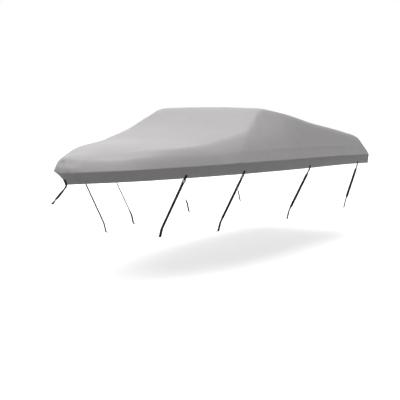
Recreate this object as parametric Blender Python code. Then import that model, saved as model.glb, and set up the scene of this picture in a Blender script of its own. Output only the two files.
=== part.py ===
"""
Fitted cover for a runabout boat, as it sits on the boat with its straps tight.

The boat and its trailer are not part of the object.  The cover is a hollow
shell of cloth: a shaped top above the rub rail and a skirt below it, with
webbing tabs, buckles and tie-down straps.

Frame: metres, Z up.  The bow points to -X, the stern to +X, port is -Y.
The origin is on the underside of the top, on the centre line, where the cloth
rests on the middle of the windshield.

All lengths along the boat ("fwd") are measured ahead of the transom, and all
heights ("up") from the rub rail at the transom, then moved to the frame above.
"""

import bpy
import bmesh
import math
import numpy as np

# ----------------------------------------------------------------------------
# driving dimensions
# ----------------------------------------------------------------------------
LENGTH = 5.400          # transom to bow tip, along the rub rail
CLOTH = 0.0020          # thickness of the coated cloth with its seam tape
GAP = 0.0003            # between pieces that touch
ORIGIN_FWD = 2.780      # the origin: middle of the windshield, ahead of the transom
CORNER_FWD = 0.080      # transom corner, as seen from above: its length ...
CORNER_IN = 0.070       # ... and its width
AFT_SLOPE = 1.15        # rise of the cloth ahead of the transom
AFT_SOFT = 0.14
SPINE_AFT = 0.330       # the centre line that the rings close on
SPINE_BOW = 5.230

# rub rail, seen from above and from the side
RAIL = (
    # fwd    half_beam  up
    (0.000,  1.025,   0.000),
    (0.450,  1.045,   0.018),
    (1.200,  1.062,   0.038),
    (2.100,  1.070,   0.055),
    (2.700,  1.060,   0.062),
    (3.200,  1.022,   0.066),
    (3.700,  0.938,   0.066),
    (4.200,  0.800,   0.062),
    (4.600,  0.648,   0.057),
    (4.950,  0.466,   0.050),
    (5.200,  0.285,   0.043),
    (5.330,  0.163,   0.039),
    (5.400,  0.000,   0.036),
)

# the top cloth across the boat: heights are above the rub rail
TOP = (
    # fwd    shoulder_y  shoulder_up  centre_up  fullness  soft    wall_up  wall_soft  wall_slope
    (0.000,  0.890,      0.175,       0.185,     2.0,      0.050,  0.055,   0.100,     2.6),
    (0.400,  0.950,      0.260,       0.270,     2.0,      0.040,  0.080,   0.100,     2.9),
    (1.000,  0.938,      0.348,       0.360,     2.0,      0.035,  0.100,   0.100,     2.8),
    (1.700,  0.905,      0.426,       0.440,     2.0,      0.035,  0.110,   0.100,     2.8),
    (2.400,  0.815,      0.552,       0.571,     2.2,      0.045,  0.120,   0.100,     2.8),
    (2.720,  0.740,      0.597,       0.610,     2.2,      0.050,  0.120,   0.100,     2.8),
    (2.850,  0.748,      0.548,       0.604,     2.3,      0.050,  0.120,   0.100,     2.8),
    (3.000,  0.790,      0.465,       0.548,     2.4,      0.050,  0.095,   0.070,     2.8),
    (3.150,  0.830,      0.390,       0.480,     2.4,      0.050,  0.085,   0.060,     2.8),
    (3.290,  0.853,      0.329,       0.419,     2.4,      0.050,  0.077,   0.050,     2.8),
    (3.500,  0.818,      0.290,       0.351,     2.3,      0.045,  0.080,   0.040,     2.7),
    (3.700,  0.780,      0.255,       0.304,     2.2,      0.040,  0.075,   0.035,     2.6),
    (3.950,  0.752,      0.216,       0.264,     2.0,      0.035,  0.050,   0.030,     2.5),
    (4.250,  0.684,      0.194,       0.240,     2.0,      0.030,  0.031,   0.030,     2.4),
    (4.500,  0.582,      0.184,       0.230,     2.0,      0.030,  0.044,   0.030,     2.4),
    (4.780,  0.422,      0.169,       0.209,     2.0,      0.030,  0.065,   0.030,     2.4),
    (5.060,  0.248,      0.146,       0.175,     2.0,      0.050,  0.074,   0.050,     2.5),
    (5.260,  0.130,      0.146,       0.158,     2.0,      0.070,  0.074,   0.070,     2.8),
    (5.400,  0.040,      0.124,       0.131,     2.0,      0.070,  0.092,   0.090,     3.4),
)

# the skirt: how far it hangs below the rub rail and how far it tucks in
SKIRT = (
    # fwd    drop    tuck
    (0.000,  0.125,  0.012),
    (1.000,  0.125,  0.016),
    (2.000,  0.130,  0.024),
    (3.000,  0.128,  0.036),
    (4.000,  0.124,  0.052),
    (4.800,  0.122,  0.074),
    (5.200,  0.120,  0.104),
    (5.360,  0.119,  0.116),
    (5.400,  0.118,  0.062),
)

# webbing, buckles and where the straps run, in metres
WEB = 0.038             # width of the side straps
TAB_WEB = 0.032         # width of the tabs sewn to the skirt
BOW_WEB = 0.025         # width of the bow strap
PLY = 0.0015            # thickness of one layer
TIE_GAP = 0.0014        # between webbing and the cloth it lies on
BAR = 0.006             # height of a buckle's outer bars
MID_BAR = 0.012         # and of its middle bar
BUCKLE_WIDE = 0.048
BUCKLE_LONG = 0.036
BUCKLE_THICK = 0.0045
BUCKLE_SIDE = 0.004     # width of a buckle's side bars
BELOW_HEM = 0.016       # hem to the middle of a buckle's top bar
DOUBLE = 0.022          # length of strap that is doubled under a buckle
TUCKED = 0.035          # the end of a strap, turned in under the trailer rail

# side ties: where each leaves the skirt, how far aft of its foot the top of the
# tab is, how far aft of the skirt the strap meets the trailer rail, half widths
# (y) and heights of its bend on the rail's upper edge and of its lower edge,
# and how far the strap is turned on its length, its outer face to the bow
TIES = (
    # fwd    tab_top  lean    aft     bend_y  bend_up  low_y   low_up   turn
    (4.326,  0.70,    0.013,  0.018,  0.394,  -0.611,  0.367,  -0.706,   0.0),
    (3.518,  0.70,    0.011,  0.020,  0.627,  -0.619,  0.599,  -0.723,  12.0),
    (2.056,  0.72,    0.000,  0.000,  0.767,  -0.625,  0.742,  -0.732,  28.0),
    (0.497,  0.75,    0.000,  0.000,  0.866,  -0.628,  0.842,  -0.736,  36.0),
)
TURN_FROM = 0.056       # below the hem, where a strap starts to turn
TURN_OVER = 0.040       # and over what length; it turns back as it nears the rail
TRAILER_RAIL = (
    # fwd    half_width
    (0.000,  0.895),
    (0.497,  0.866),
    (2.056,  0.767),
    (3.499,  0.627),
    (4.296,  0.394),
    (5.200,  0.120),
)

# bow strap, from the stem of the skirt to the winch post, on the centre line
BOW_STRAP = (
    # fwd    up      twist (degrees about its length)
    (5.352,  -0.109,    0.0),
    (5.372,  -0.124,    6.0),
    (5.396,  -0.142,   -6.0),
    (5.424,  -0.163,  -24.0),
    (5.452,  -0.184,  -26.0),
    (5.482,  -0.205,  -18.0),
    (5.504,  -0.221,   22.0),
    (5.526,  -0.238,   -6.0),
    (5.548,  -0.254,  -18.0),
)


def column(table, index):
    return np.array([row[index] for row in table], float)


def slopes(x, y):
    """Monotone cubic slopes for a table column (Fritsch and Butland)."""
    h = np.diff(x)
    d = np.diff(y) / h
    m = np.zeros(len(x))
    for i in range(1, len(x) - 1):
        if d[i - 1] * d[i] > 0.0:
            a = 2.0 * h[i] + h[i - 1]
            b = h[i] + 2.0 * h[i - 1]
            m[i] = (a + b) / (a / d[i - 1] + b / d[i])
    m[0], m[-1] = d[0], d[-1]
    return m


def follow(x, y, at):
    """Smooth curve through a table's rows, held level past its ends."""
    m = slopes(x, y)
    at = np.clip(np.asarray(at, float), x[0], x[-1])
    i = np.clip(np.searchsorted(x, at, side="right") - 1, 0, len(x) - 2)
    h = x[i + 1] - x[i]
    t = (at - x[i]) / h
    t2, t3 = t * t, t * t * t
    return ((2 * t3 - 3 * t2 + 1) * y[i] + (t3 - 2 * t2 + t) * h * m[i]
            + (-2 * t3 + 3 * t2) * y[i + 1] + (t3 - t2) * h * m[i + 1])


def of_table(table, index, fwd):
    return follow(column(table, 0), column(table, index), fwd)


def half_beam(fwd):
    """Half the width at the rub rail.  Its square is what is interpolated,
    which rounds the bow; the transom corner is a quarter ellipse."""
    b = np.sqrt(np.maximum(follow(column(RAIL, 0), column(RAIL, 1) ** 2, fwd), 0.0))
    t = np.clip(1.0 - np.asarray(fwd, float) / CORNER_FWD, 0.0, 1.0)
    return b - CORNER_IN * (1.0 - np.sqrt(1.0 - t * t))


def soft_min(a, b, k):
    """The smaller of two heights, with the edge between them rounded."""
    h = np.maximum(k - np.abs(a - b), 0.0) / k
    return np.minimum(a, b) - h * h * k * 0.25


# ----------------------------------------------------------------------------
# the rub rail seen from above, once round the boat
# ----------------------------------------------------------------------------
def half_outline(transom, corner, side, nose):
    """Port half of the rub rail from the middle of the transom to the bow tip,
    with so many steps in each stretch: rows of (fwd, half width)."""
    b0 = float(half_beam(0.0))
    rows = [(0.0, b0 * i / transom) for i in range(transom)]
    for i in range(corner):
        a = 0.5 * math.pi * i / corner
        fwd = CORNER_FWD * (1.0 - math.cos(a))
        rows.append((fwd, float(half_beam(fwd))))
    nose_from = 4.80
    for i in range(side):
        fwd = CORNER_FWD + (nose_from - CORNER_FWD) * i / side
        rows.append((fwd, float(half_beam(fwd))))
    for i in range(nose + 1):
        t = 1.0 - i / nose
        fwd = LENGTH - (LENGTH - nose_from) * t ** 1.8
        rows.append((fwd, float(half_beam(fwd))))
    return np.array(rows)


def whole_outline(half):
    """Both sides: port first, then back along starboard (port is +1 here, the
    sign is turned when the frame is set)."""
    star = half[-2:0:-1] * np.array([1.0, -1.0])
    return np.vstack([half, star])


DENSE = whole_outline(half_outline(40, 24, 160, 60))


def rail_distance(fwd, y):
    """Distance, seen from above, to the rub rail."""
    a = DENSE
    b = np.roll(DENSE, -1, axis=0)
    ab = b - a
    p = np.stack([np.ravel(fwd), np.ravel(y)], 1)
    best = np.full(len(p), 1e9)
    for k in range(0, len(p), 4000):
        q = p[k:k + 4000, None, :]
        t = np.clip(((q - a) * ab).sum(2) / (ab * ab).sum(1), 0.0, 1.0)
        d = np.sqrt((((a + t[..., None] * ab) - q) ** 2).sum(2)).min(1)
        best[k:k + 4000] = d
    return best.reshape(np.shape(fwd))


# ----------------------------------------------------------------------------
# the form of the top
# ----------------------------------------------------------------------------
def top_up(fwd, y):
    """Height of the top cloth's outer face at a place seen from above."""
    fwd = np.asarray(fwd, float)
    y = np.abs(np.asarray(y, float))
    b = np.maximum(half_beam(fwd), 0.02)
    shoulder = np.minimum(of_table(TOP, 1, fwd), 0.9 * b)
    high = of_table(TOP, 2, fwd)
    middle = of_table(TOP, 3, fwd)
    fullness = of_table(TOP, 4, fwd)
    soft = of_table(TOP, 5, fwd)
    wall = of_table(TOP, 6, fwd)
    wall_soft = of_table(TOP, 7, fwd)
    wall_slope = of_table(TOP, 8, fwd)
    lean = (high - wall) / (b - shoulder)
    side = wall + lean * (b - y)
    crown = middle - (middle - high) * (np.minimum(y, shoulder) / shoulder) ** fullness
    past = np.minimum(fullness * (middle - high) / shoulder, 0.7 * lean)
    crown = crown - past * np.maximum(y - shoulder, 0.0)
    z = soft_min(crown, side, soft)
    z = soft_min(z, 0.04 + AFT_SLOPE * fwd, AFT_SOFT)
    z = soft_min(z, wall_slope * rail_distance(fwd, y),
                 np.minimum(wall_soft, wall))
    return of_table(RAIL, 2, fwd) + np.maximum(z, 0.0)


def spine_fwd(fwd):
    """Where on the centre line the ring lines from a place on the rail close."""
    low, high = 0.80, 4.60
    aft = SPINE_AFT + (low - SPINE_AFT) * fwd / low
    bow = high + (SPINE_BOW - high) * (fwd - high) / (LENGTH - high)
    return np.where(fwd < low, aft, np.where(fwd > high, bow, fwd))


def grid_of_top(half, wall_steps, side_steps, crown_steps):
    """Rings from the rail to the centre line, over the port half.
    Returns fwd, y of shape (stations, rings)."""
    fwd0, y0 = half[:, 0], half[:, 1]
    spine = spine_fwd(fwd0)
    reach = np.sqrt((spine - fwd0) ** 2 + y0 ** 2)
    wall = np.minimum(0.045 / reach, 0.3)
    shoulder = 1.0 - of_table(TOP, 1, fwd0) / np.maximum(y0, 0.05)
    shoulder = np.clip(shoulder, 0.24, 0.62)
    shoulder = np.where(fwd0 < CORNER_FWD,
                        0.24 + 0.38 * (1.0 - np.clip(fwd0 / CORNER_FWD, 0, 1)) ** 0.5,
                        shoulder)
    rings = []
    for i in range(len(half)):
        a = np.linspace(0.0, wall[i], wall_steps + 1)
        b = np.linspace(wall[i], shoulder[i], side_steps + 1)[1:]
        c = shoulder[i] + (1 - shoulder[i]) * np.linspace(0, 1, crown_steps + 1)[1:] ** 1.15
        rings.append(np.concatenate([a, b, c]))
    w = np.array(rings)
    return fwd0[:, None] + (spine - fwd0)[:, None] * w, y0[:, None] * (1.0 - w)


ORIGIN_UP = float(top_up(ORIGIN_FWD, 0.0)) - CLOTH


def to_frame(fwd, y, up):
    """To the part's frame: port (y positive up to here) is -Y, the bow is -X."""
    return np.stack(np.broadcast_arrays(ORIGIN_FWD - np.asarray(fwd, float),
                                        -np.asarray(y, float),
                                        np.asarray(up, float) - ORIGIN_UP), -1)


# ----------------------------------------------------------------------------
# meshes
# ----------------------------------------------------------------------------
def material(name, colour, rough, metal=0.0):
    m = bpy.data.materials.new(name)
    m.use_nodes = True
    p = m.node_tree.nodes["Principled BSDF"]
    p.inputs["Base Color"].default_value = (*colour, 1.0)
    p.inputs["Roughness"].default_value = rough
    p.inputs["Metallic"].default_value = metal
    return m


def make_object(name, points, faces, mat, smooth_below=None):
    mesh = bpy.data.meshes.new(name)
    mesh.from_pydata([tuple(map(float, p)) for p in points], [],
                     [tuple(int(i) for i in f) for f in faces])
    mesh.validate()
    bm = bmesh.new()
    bm.from_mesh(mesh)
    bmesh.ops.recalc_face_normals(bm, faces=bm.faces)
    bm.to_mesh(mesh)
    bm.free()
    if smooth_below:
        mesh.shade_smooth()
        mesh.set_sharp_from_angle(angle=math.radians(smooth_below))
    mesh.materials.append(mat)
    ob = bpy.data.objects.new(name, mesh)
    bpy.context.scene.collection.objects.link(ob)
    return ob


def vertex_normals(points, faces):
    """Area-weighted normals at the points of an open surface."""
    n = np.zeros_like(points)
    for f in faces:
        for k in range(1, len(f) - 1):
            a, b, c = points[f[0]], points[f[k]], points[f[k + 1]]
            w = np.cross(b - a, c - a)
            for i in (f[0], f[k], f[k + 1]):
                n[i] += w
    return n / np.maximum(np.linalg.norm(n, axis=1), 1e-12)[:, None]


def cut_quads(points, faces):
    """Triangles: each four-cornered face is cut along its shorter diagonal."""
    out = []
    for f in faces:
        if len(f) == 3:
            out.append(tuple(f))
            continue
        a, b, c, d = f
        if (np.linalg.norm(points[a] - points[c])
                <= np.linalg.norm(points[b] - points[d])):
            out += [(a, b, c), (a, c, d)]
        else:
            out += [(a, b, d), (b, c, d)]
    return out


def thicken(outer, faces, inward, rims):
    """A closed shell: the surface, the same surface moved inward, and strips
    that join the two along the open edges (rims, each a loop of indices).
    Both surfaces are cut into the same triangles, so the cloth between them
    keeps its thickness where it is curved or twisted."""
    faces = cut_quads(outer, faces)
    n = len(outer)
    points = np.vstack([outer, outer + inward])
    body = [tuple(f) for f in faces]
    body += [tuple(n + i for i in reversed(f)) for f in faces]
    for rim in rims:
        for a, b in zip(rim, rim[1:] + rim[:1]):
            body.append((a, b, n + b, n + a))
    return points, body


HALF = half_outline(transom=5, corner=3, side=26, nose=7)
AROUND = whole_outline(HALF)


def inboard(outline):
    """Unit vectors, seen from above, pointing into the boat from the rail."""
    t = np.roll(outline, -1, axis=0) - np.roll(outline, 1, axis=0)
    n = np.stack([t[:, 1], -t[:, 0]], 1)
    n /= np.linalg.norm(n, axis=1)[:, None]
    core = np.stack([np.clip(outline[:, 0], 1.0, 4.2), 0 * outline[:, 1]], 1)
    return n * np.sign(((core - outline) * n).sum(1))[:, None]


def build_top(mat):
    """The top: rings from the rub rail to the centre line, port and starboard,
    welded along the centre line."""
    fwd, y = grid_of_top(HALF, 3, 6, 6)
    up = top_up(fwd, y)
    steps, rings = fwd.shape
    points, index, seen = [], {}, {}
    for side in (1, -1):
        for i in range(steps):
            for j in range(rings):
                key = (round(float(fwd[i, j]), 5), round(float(side * y[i, j]), 5))
                if key not in seen:
                    seen[key] = len(points)
                    points.append(to_frame(fwd[i, j], side * y[i, j], up[i, j]))
                index[side, i, j] = seen[key]
    faces = []
    for side in (1, -1):
        for i in range(steps - 1):
            for j in range(rings - 1):
                loop = [index[side, i, j], index[side, i + 1, j],
                        index[side, i + 1, j + 1], index[side, i, j + 1]]
                loop = [v for k, v in enumerate(loop) if v != loop[k - 1]]
                if len(loop) > 2:
                    faces.append(loop if side > 0 else loop[::-1])
    points = np.array(points)
    normal = vertex_normals(points, faces)
    if normal[:, 2].sum() < 0.0:
        faces = [f[::-1] for f in faces]
        normal = -normal
    inward = -CLOTH * normal
    rim = [index[1, i, 0] for i in range(steps)]
    rim += [index[-1, i, 0] for i in range(steps - 2, 0, -1)]
    n_in = inboard(AROUND)
    for k, v in enumerate(rim):
        inward[v] = -CLOTH * np.array([n_in[k, 0], n_in[k, 1], 0.0])
    points, faces = thicken(points, faces, inward, [rim])
    return make_object("cover_top", points, faces, mat, smooth_below=50)


def skirt_place(fwd0, y0, n_in, t):
    """A place on the skirt's outer face, t of the way from rail to hem."""
    tuck = of_table(SKIRT, 2, fwd0) * t * (1.3 - 0.3 * t)
    drop = of_table(SKIRT, 1, fwd0) * t
    return (fwd0 + n_in[..., 0] * tuck, y0 + n_in[..., 1] * tuck,
            of_table(RAIL, 2, fwd0) - drop)


def build_skirt(mat):
    """The band under the rub rail, hem included, in one piece round the boat."""
    n_in = inboard(AROUND)
    rows = []
    for t in (0.0, 0.25, 0.5, 0.75, 1.0):
        f, y, up = skirt_place(AROUND[:, 0], AROUND[:, 1], n_in, t)
        rows.append(to_frame(f, y, up - (GAP if t == 0.0 else 0.0)))
    n = len(AROUND)
    points = np.vstack(rows)
    faces = []
    for j in range(len(rows) - 1):
        for i in range(n):
            k = (i + 1) % n
            faces.append([j * n + i, j * n + k, (j + 1) * n + k, (j + 1) * n + i])
    normal = vertex_normals(points, faces)
    if (normal[:n, :2] * n_in).sum() < 0.0:     # n_in points out in the frame
        faces = [f[::-1] for f in faces]
        normal = -normal
    inward = -CLOTH * normal
    inward[:n] = np.stack([-CLOTH * n_in[:, 0], -CLOTH * n_in[:, 1], 0 * n_in[:, 0]], 1)
    top_rim = list(range(n))
    hem_rim = list(range((len(rows) - 1) * n, len(rows) * n))[::-1]
    points, faces = thicken(points, faces, inward, [top_rim, hem_rim])
    return make_object("cover_skirt", points, faces, mat, smooth_below=40)


# ----------------------------------------------------------------------------
# webbing and buckles: flat shapes drawn along and across a path, then given
# their width
# ----------------------------------------------------------------------------
def rounded(path, radius, steps):
    """A 3-D path with each inner bend replaced by a short curve."""
    out = [path[0]]
    for a, b, c in zip(path[:-2], path[1:-1], path[2:]):
        u, v = a - b, c - b
        r = min(radius, 0.45 * np.linalg.norm(u), 0.45 * np.linalg.norm(v))
        p = b + u / np.linalg.norm(u) * r
        q = b + v / np.linalg.norm(v) * r
        for i in range(steps + 1):
            t = i / steps
            out.append(p * (1 - t) ** 2 + b * 2 * t * (1 - t) + q * t * t)
    out.append(path[-1])
    return np.array(out)


def unit(v):
    return v / np.maximum(np.linalg.norm(v, axis=-1, keepdims=True), 1e-12)


class Path:
    """A centre line with a width direction at each of its points; places are
    given by the distance along it and the offset out from it."""

    def __init__(self, points, across):
        self.points, self.across = points, unit(across)
        step = np.diff(points, axis=0)
        self.at = np.concatenate([[0.0], np.cumsum(np.linalg.norm(step, axis=1))])
        self.leg = unit(step)

    def frame(self, s):
        """Centre, direction along, across and out; at a bend the direction out
        is the mitre, long enough to keep the thickness."""
        k = int(np.clip(np.searchsorted(self.at, s) - 1, 0, len(self.leg) - 1))
        along, stretch = self.leg[k], 1.0
        if k + 1 < len(self.leg) and abs(s - self.at[k + 1]) < 1e-7:
            both = unit(self.leg[k] + self.leg[k + 1])
            stretch = 1.0 / float(both @ along)
            along = both
        centre = self.points[k] + self.leg[k] * (s - self.at[k])
        mix = np.clip((s - self.at[k]) / (self.at[k + 1] - self.at[k]), 0.0, 1.0)
        across = self.across[k] * (1.0 - mix) + self.across[k + 1] * mix
        across = unit(across - (across @ along) * along)
        return centre, along, across, stretch * np.cross(along, across)

    def place(self, flat, half):
        """Both edges of the width, for rows of (distance along, offset)."""
        low, high = [], []
        for s, offset in flat:
            centre, _, across, out = self.frame(s)
            low.append(centre + out * offset - across * half)
            high.append(centre + out * offset + across * half)
        return np.array(low), np.array(high)


def turn(loop):
    """Twice the signed area of a flat loop."""
    after = np.roll(loop, -1, axis=0)
    return float((loop[:, 0] * after[:, 1] - loop[:, 1] * after[:, 0]).sum())


def extrude(name, path, flat, faces, width, mat, sharp=40):
    """A closed body from a flat drawing (distance along, offset) on a path."""
    flat = np.array(flat, float)
    faces = [f if turn(flat[f]) > 0.0 else f[::-1] for f in faces]
    low, high = path.place(flat, 0.5 * width)
    n = len(flat)
    body, edges = [], {}
    for f in faces:
        body.append(tuple(f))
        body.append(tuple(n + i for i in reversed(f)))
        for a, b in zip(f, f[1:] + f[:1]):
            edges[a, b] = edges.get((a, b), 0) + 1
    # the two faces of the webbing are cut along diagonals that run the same
    # way, so a twisted length keeps its thickness
    for a, b in edges:
        if (b, a) in edges:
            continue
        if flat[a][0] < flat[b][0]:
            body += [(b, a, n + b), (a, n + a, n + b)]
        else:
            body += [(b, a, n + a), (b, n + a, n + b)]
    return make_object(name, np.vstack([low, high]), body, mat, smooth_below=sharp)


def ribbon(flat, faces, stations, low, high, first=None):
    """Add quads between two offsets along a run of stations.  `first` is the
    list of points already drawn at the first station, low to high."""
    last = first
    if last is None:
        last = [len(flat), len(flat) + 1]
        flat += [(stations[0], low), (stations[0], high)]
    for s in stations[1:]:
        now = [len(flat), len(flat) + 1]
        flat += [(s, low), (s, high)]
        faces.append([now[0], now[1]] + last[::-1])
        last = now
    return last


def eye(flat, faces, bar, sign):
    """The loop of webbing round a bar at `bar`; the webbing leaves towards
    sign.  Returns the three points where its two legs meet, low to high."""
    h, q = 0.5 * BAR + 0.0005, 0.5 * BUCKLE_THICK + 0.0005
    end, w = 0.5 * BAR + 0.0085, PLY
    inner = [(end, 0.0), (h, q), (-h + 0.0003, q), (-h, q - 0.0003),
             (-h, -q + 0.0003), (-h + 0.0003, -q), (h, -q), (end, 0.0)]
    outer = [(end, w), (h + 0.0005, q + w), (-h, q + w), (-h - w, q),
             (-h - w, -q), (-h, -q - w), (h + 0.0005, -q - w), (end, -w)]
    k = len(flat)
    flat += [(bar + sign * s, o) for s, o in outer]
    flat += [(bar + sign * s, o) for s, o in inner[:-1]]
    n = len(outer)
    inside = [k + n + i for i in range(n - 1)] + [k + n]
    for i in range(n - 1):
        faces.append([k + i, k + i + 1, inside[i + 1], inside[i]])
    return [k + n - 1, k + n, k]


def skirt_face(fwd, side, rows, lean):
    """The skirt's outer facet at a place along the boat: points down it at the
    given t, the first `lean` further aft than the last, the direction along
    the boat and the direction out, in the frame."""
    n_in = inboard(AROUND)
    k = len(HALF)
    i = int(np.searchsorted(HALF[:, 0], fwd) - 1)
    lo, hi = HALF[i, 0], HALF[i + 1, 0]
    inset = (0.5 * WEB + 0.004) / (hi - lo)
    mix = min(max((fwd - lo) / (hi - lo), inset + lean / (hi - lo)), 1.0 - inset)
    grid = (0.0, 0.25, 0.5, 0.75, 1.0)
    ends = []
    for j in (i, i + 1):
        f, y, up = skirt_place(AROUND[j, 0], AROUND[j, 1], n_in[j], np.array(grid))
        ends.append(to_frame(f, y * side, up))
    line = ends[0] * (1 - mix) + ends[1] * mix
    points = np.stack([np.interp(rows, grid, line[:, c]) for c in range(3)], -1)
    along = unit(ends[1][-2] - ends[0][-2])
    down = unit(line[-1] - line[-2])
    out = unit(np.cross(along, down))
    if out[1] * side > 0.0:           # port (side +1) faces -Y in the frame
        out = -out
    rows = np.asarray(rows)
    points = points - along * (lean * (1.0 - rows) / (1.0 - rows[0]))[:, None]
    return points, along, out


def side_path(row, side):
    """Centre line of a side tie: down the skirt, past the hem, straight to the
    trailer rail, down its outer side and in under it."""
    fwd, t_top, lean, aft, bend_y, bend_up, low_y, low_up, turn_by = row
    t = np.array([t_top, 1.0] if t_top >= 0.75 else [t_top, 0.75, 1.0])
    face, along, out = skirt_face(fwd, side, t, lean)
    lift = TIE_GAP + PLY
    skirt = face + out * lift
    hem = skirt[-1] + unit(skirt[-1] - skirt[-2]) * 0.0035
    fwd = ORIGIN_FWD - face[-1, 0] - aft
    bend, low, end = (to_frame(fwd, side * y, up) for y, up in
                      ((bend_y, bend_up), (low_y, low_up),
                       (low_y - TUCKED, low_up - 0.004)))
    bends = rounded(np.array([hem, bend, low, end]), 0.012, 2)
    leg = bends[1] - bends[0]
    long = float(np.linalg.norm(leg))
    leg = leg / long
    at = np.concatenate([TURN_FROM + TURN_OVER * np.arange(5) / 4.0,
                         long - 0.020 - TURN_OVER * np.arange(4, -1, -1) / 4.0])
    at = at if turn_by else at[:0]
    path = np.vstack([skirt, bends[:1], bends[0] + leg * at[:, None], bends[1:]])
    a = np.array(column(TRAILER_RAIL, 0))
    y = column(TRAILER_RAIL, 1)
    lean = (follow(a, y, fwd + 0.05) - follow(a, y, fwd - 0.05)) / 0.1
    rail_along = unit(to_frame(fwd + 1.0, side * lean, 0.0) - to_frame(fwd, 0.0, 0.0))
    mix = np.clip((path[:, 2] - hem[2]) / (bend[2] - hem[2]), 0.0, 1.0)[:, None]
    across = (along * (1 - mix) + rail_along * mix) * side
    first = len(skirt) + 1
    for k, s in enumerate(at):
        t = min(max(min(s - TURN_FROM, long - 0.020 - s) / TURN_OVER, 0.0), 1.0)
        a = math.radians(turn_by) * t * t * (3.0 - 2.0 * t)
        level = unit(across[first + k] - (across[first + k] @ leg) * leg)
        across[first + k] = level * math.cos(a) + side * np.cross(leg, level) * math.sin(a)
    start = float(np.linalg.norm(np.diff(np.vstack([skirt, hem]), axis=0), axis=1).sum())
    return Path(path, across), start


def build_tie(label, row, side, web, plastic):
    path, hem = side_path(row, side)
    top = hem + BELOW_HEM - 0.0035
    low = top + BUCKLE_LONG - BAR
    # tab: doubled webbing on the skirt, ending in a loop round the top bar
    flat, faces = [], []
    legs = eye(flat, faces, top, -1.0)
    stations = [flat[legs[1]][0]]
    stations += [s for s in path.at[::-1] if s < stations[0] - 0.002]
    ribbon(flat, faces, stations, -PLY, PLY, first=[legs[0], legs[1], legs[2]])
    extrude(f"tab_{label}", path, flat, faces, TAB_WEB, web)
    # buckle: a frame with two windows, its corners cut off
    build_buckle(f"buckle_{label}", path, 0.5 * (top + low), plastic)
    # strap: looped round the lower bar, doubled, then one layer to its end
    flat, faces = [], []
    legs = eye(flat, faces, low, 1.0)
    stations = [flat[legs[1]][0], low + DOUBLE]
    last = ribbon(flat, faces, stations, -PLY, PLY, first=legs)
    step = len(flat)
    flat.append((stations[-1], 0.0))
    faces[-1] = faces[-1][:1] + [step] + faces[-1][1:]
    stations = [stations[-1]] + [s for s in path.at if s > low + DOUBLE + 0.004]
    ribbon(flat, faces, stations, -PLY, 0.0, first=[last[0], step])
    extrude(f"strap_{label}", path, flat, faces, WEB, web)


def build_buckle(name, path, middle, mat):
    w, l, side, cut = 0.5 * BUCKLE_WIDE, 0.5 * BUCKLE_LONG, BUCKLE_SIDE, 0.0025
    across = [-w, -w + side, w - side, w]
    down = [-l, -l + BAR, -0.5 * MID_BAR, 0.5 * MID_BAR, l - BAR, l]
    t = 0.5 * BUCKLE_THICK
    o, a, c, n = path.frame(middle)
    points, index = [], {}
    for j, v in enumerate(down):
        for i, u in enumerate(across):
            places = [(u, v)]
            if i in (0, 3) and j in (0, 5):
                su, sv = -math.copysign(cut, u), -math.copysign(cut, v)
                places = [(u + su, v), (u, v + sv)]
            index[i, j] = list(range(len(points), len(points) + len(places)))
            points += places
    faces = []
    for j in range(5):
        for i in range(3):
            if i == 1 and j in (1, 3):
                continue
            loop = [index[i, j], index[i + 1, j], index[i + 1, j + 1], index[i, j + 1]]
            f = []
            for k, (ij, group) in enumerate(zip(((i, j), (i + 1, j), (i + 1, j + 1),
                                                 (i, j + 1)), loop)):
                g = list(group)
                if len(g) == 2:
                    # order the two cut points along the way round the cell
                    end_on = (ij[0] == 0) == (ij[1] == 0)
                    g = g[::-1] if end_on else g
                f += g
            faces.append(f)
    p = np.array(points)
    low = o + p[:, :1] * c + p[:, 1:] * a - t * n
    high = low + 2.0 * t * n
    k = len(points)
    body, edges = [], set()
    faces = [f if turn(p[f]) > 0.0 else f[::-1] for f in faces]
    for f in faces:
        body += [tuple(f), tuple(k + i for i in reversed(f))]
        edges |= set(zip(f, f[1:] + f[:1]))
    body += [(b, a_, k + a_, k + b) for a_, b in sorted(edges) if (b, a_) not in edges]
    return make_object(name, np.vstack([low, high]), body, mat, smooth_below=30)


def build_bow_strap(web):
    """One strap, doubled and sewn to the stem of the skirt, running down over
    the hem and forward to the winch post."""
    tip = len(HALF) - 1
    n_in = inboard(AROUND)
    f, y, up = skirt_place(AROUND[tip, 0], AROUND[tip, 1], n_in[tip],
                           np.array([0.55, 0.75, 1.0]))
    face = to_frame(f, 0.0 * y, up)
    down = unit(face[-1] - face[-2])
    out = np.array([down[2], 0.0, -down[0]])
    out = out if out[0] < 0.0 else -out
    skirt = face + out * (TIE_GAP + PLY)
    hem = skirt[-1] + down * 0.004
    free = to_frame(column(BOW_STRAP, 0), 0.0, column(BOW_STRAP, 1))
    points = np.vstack([skirt, hem, free])
    twist = np.concatenate([np.zeros(4), np.radians(column(BOW_STRAP, 2))])
    along = unit(np.gradient(points, axis=0))
    side = np.array([0.0, 1.0, 0.0])
    normal = unit(np.cross(along, side))
    across = side * np.cos(twist)[:, None] + normal * np.sin(twist)[:, None]
    path = Path(points, across)
    flat, faces = [], []
    ribbon(flat, faces, list(path.at), -PLY, PLY)
    extrude("strap_bow", path, flat, faces, BOW_WEB, web)


def clear_scene():
    for ob in list(bpy.data.objects):
        bpy.data.objects.remove(ob, do_unlink=True)


def main():
    clear_scene()
    build_top(material("cover_cloth", (0.40, 0.39, 0.38), 0.85))
    build_skirt(material("skirt_cloth", (0.38, 0.37, 0.36), 0.85))
    for side, word in ((1, "port"), (-1, "star")):
        for i, row in enumerate(TIES):
            label = f"{word}_{i + 1}"
            build_tie(label, row, side,
                      material(f"web_{label}", (0.02, 0.02, 0.02), 0.8),
                      material(f"plastic_{label}", (0.03, 0.03, 0.03), 0.4))
    build_bow_strap(material("web_bow", (0.02, 0.02, 0.02), 0.8))


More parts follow.
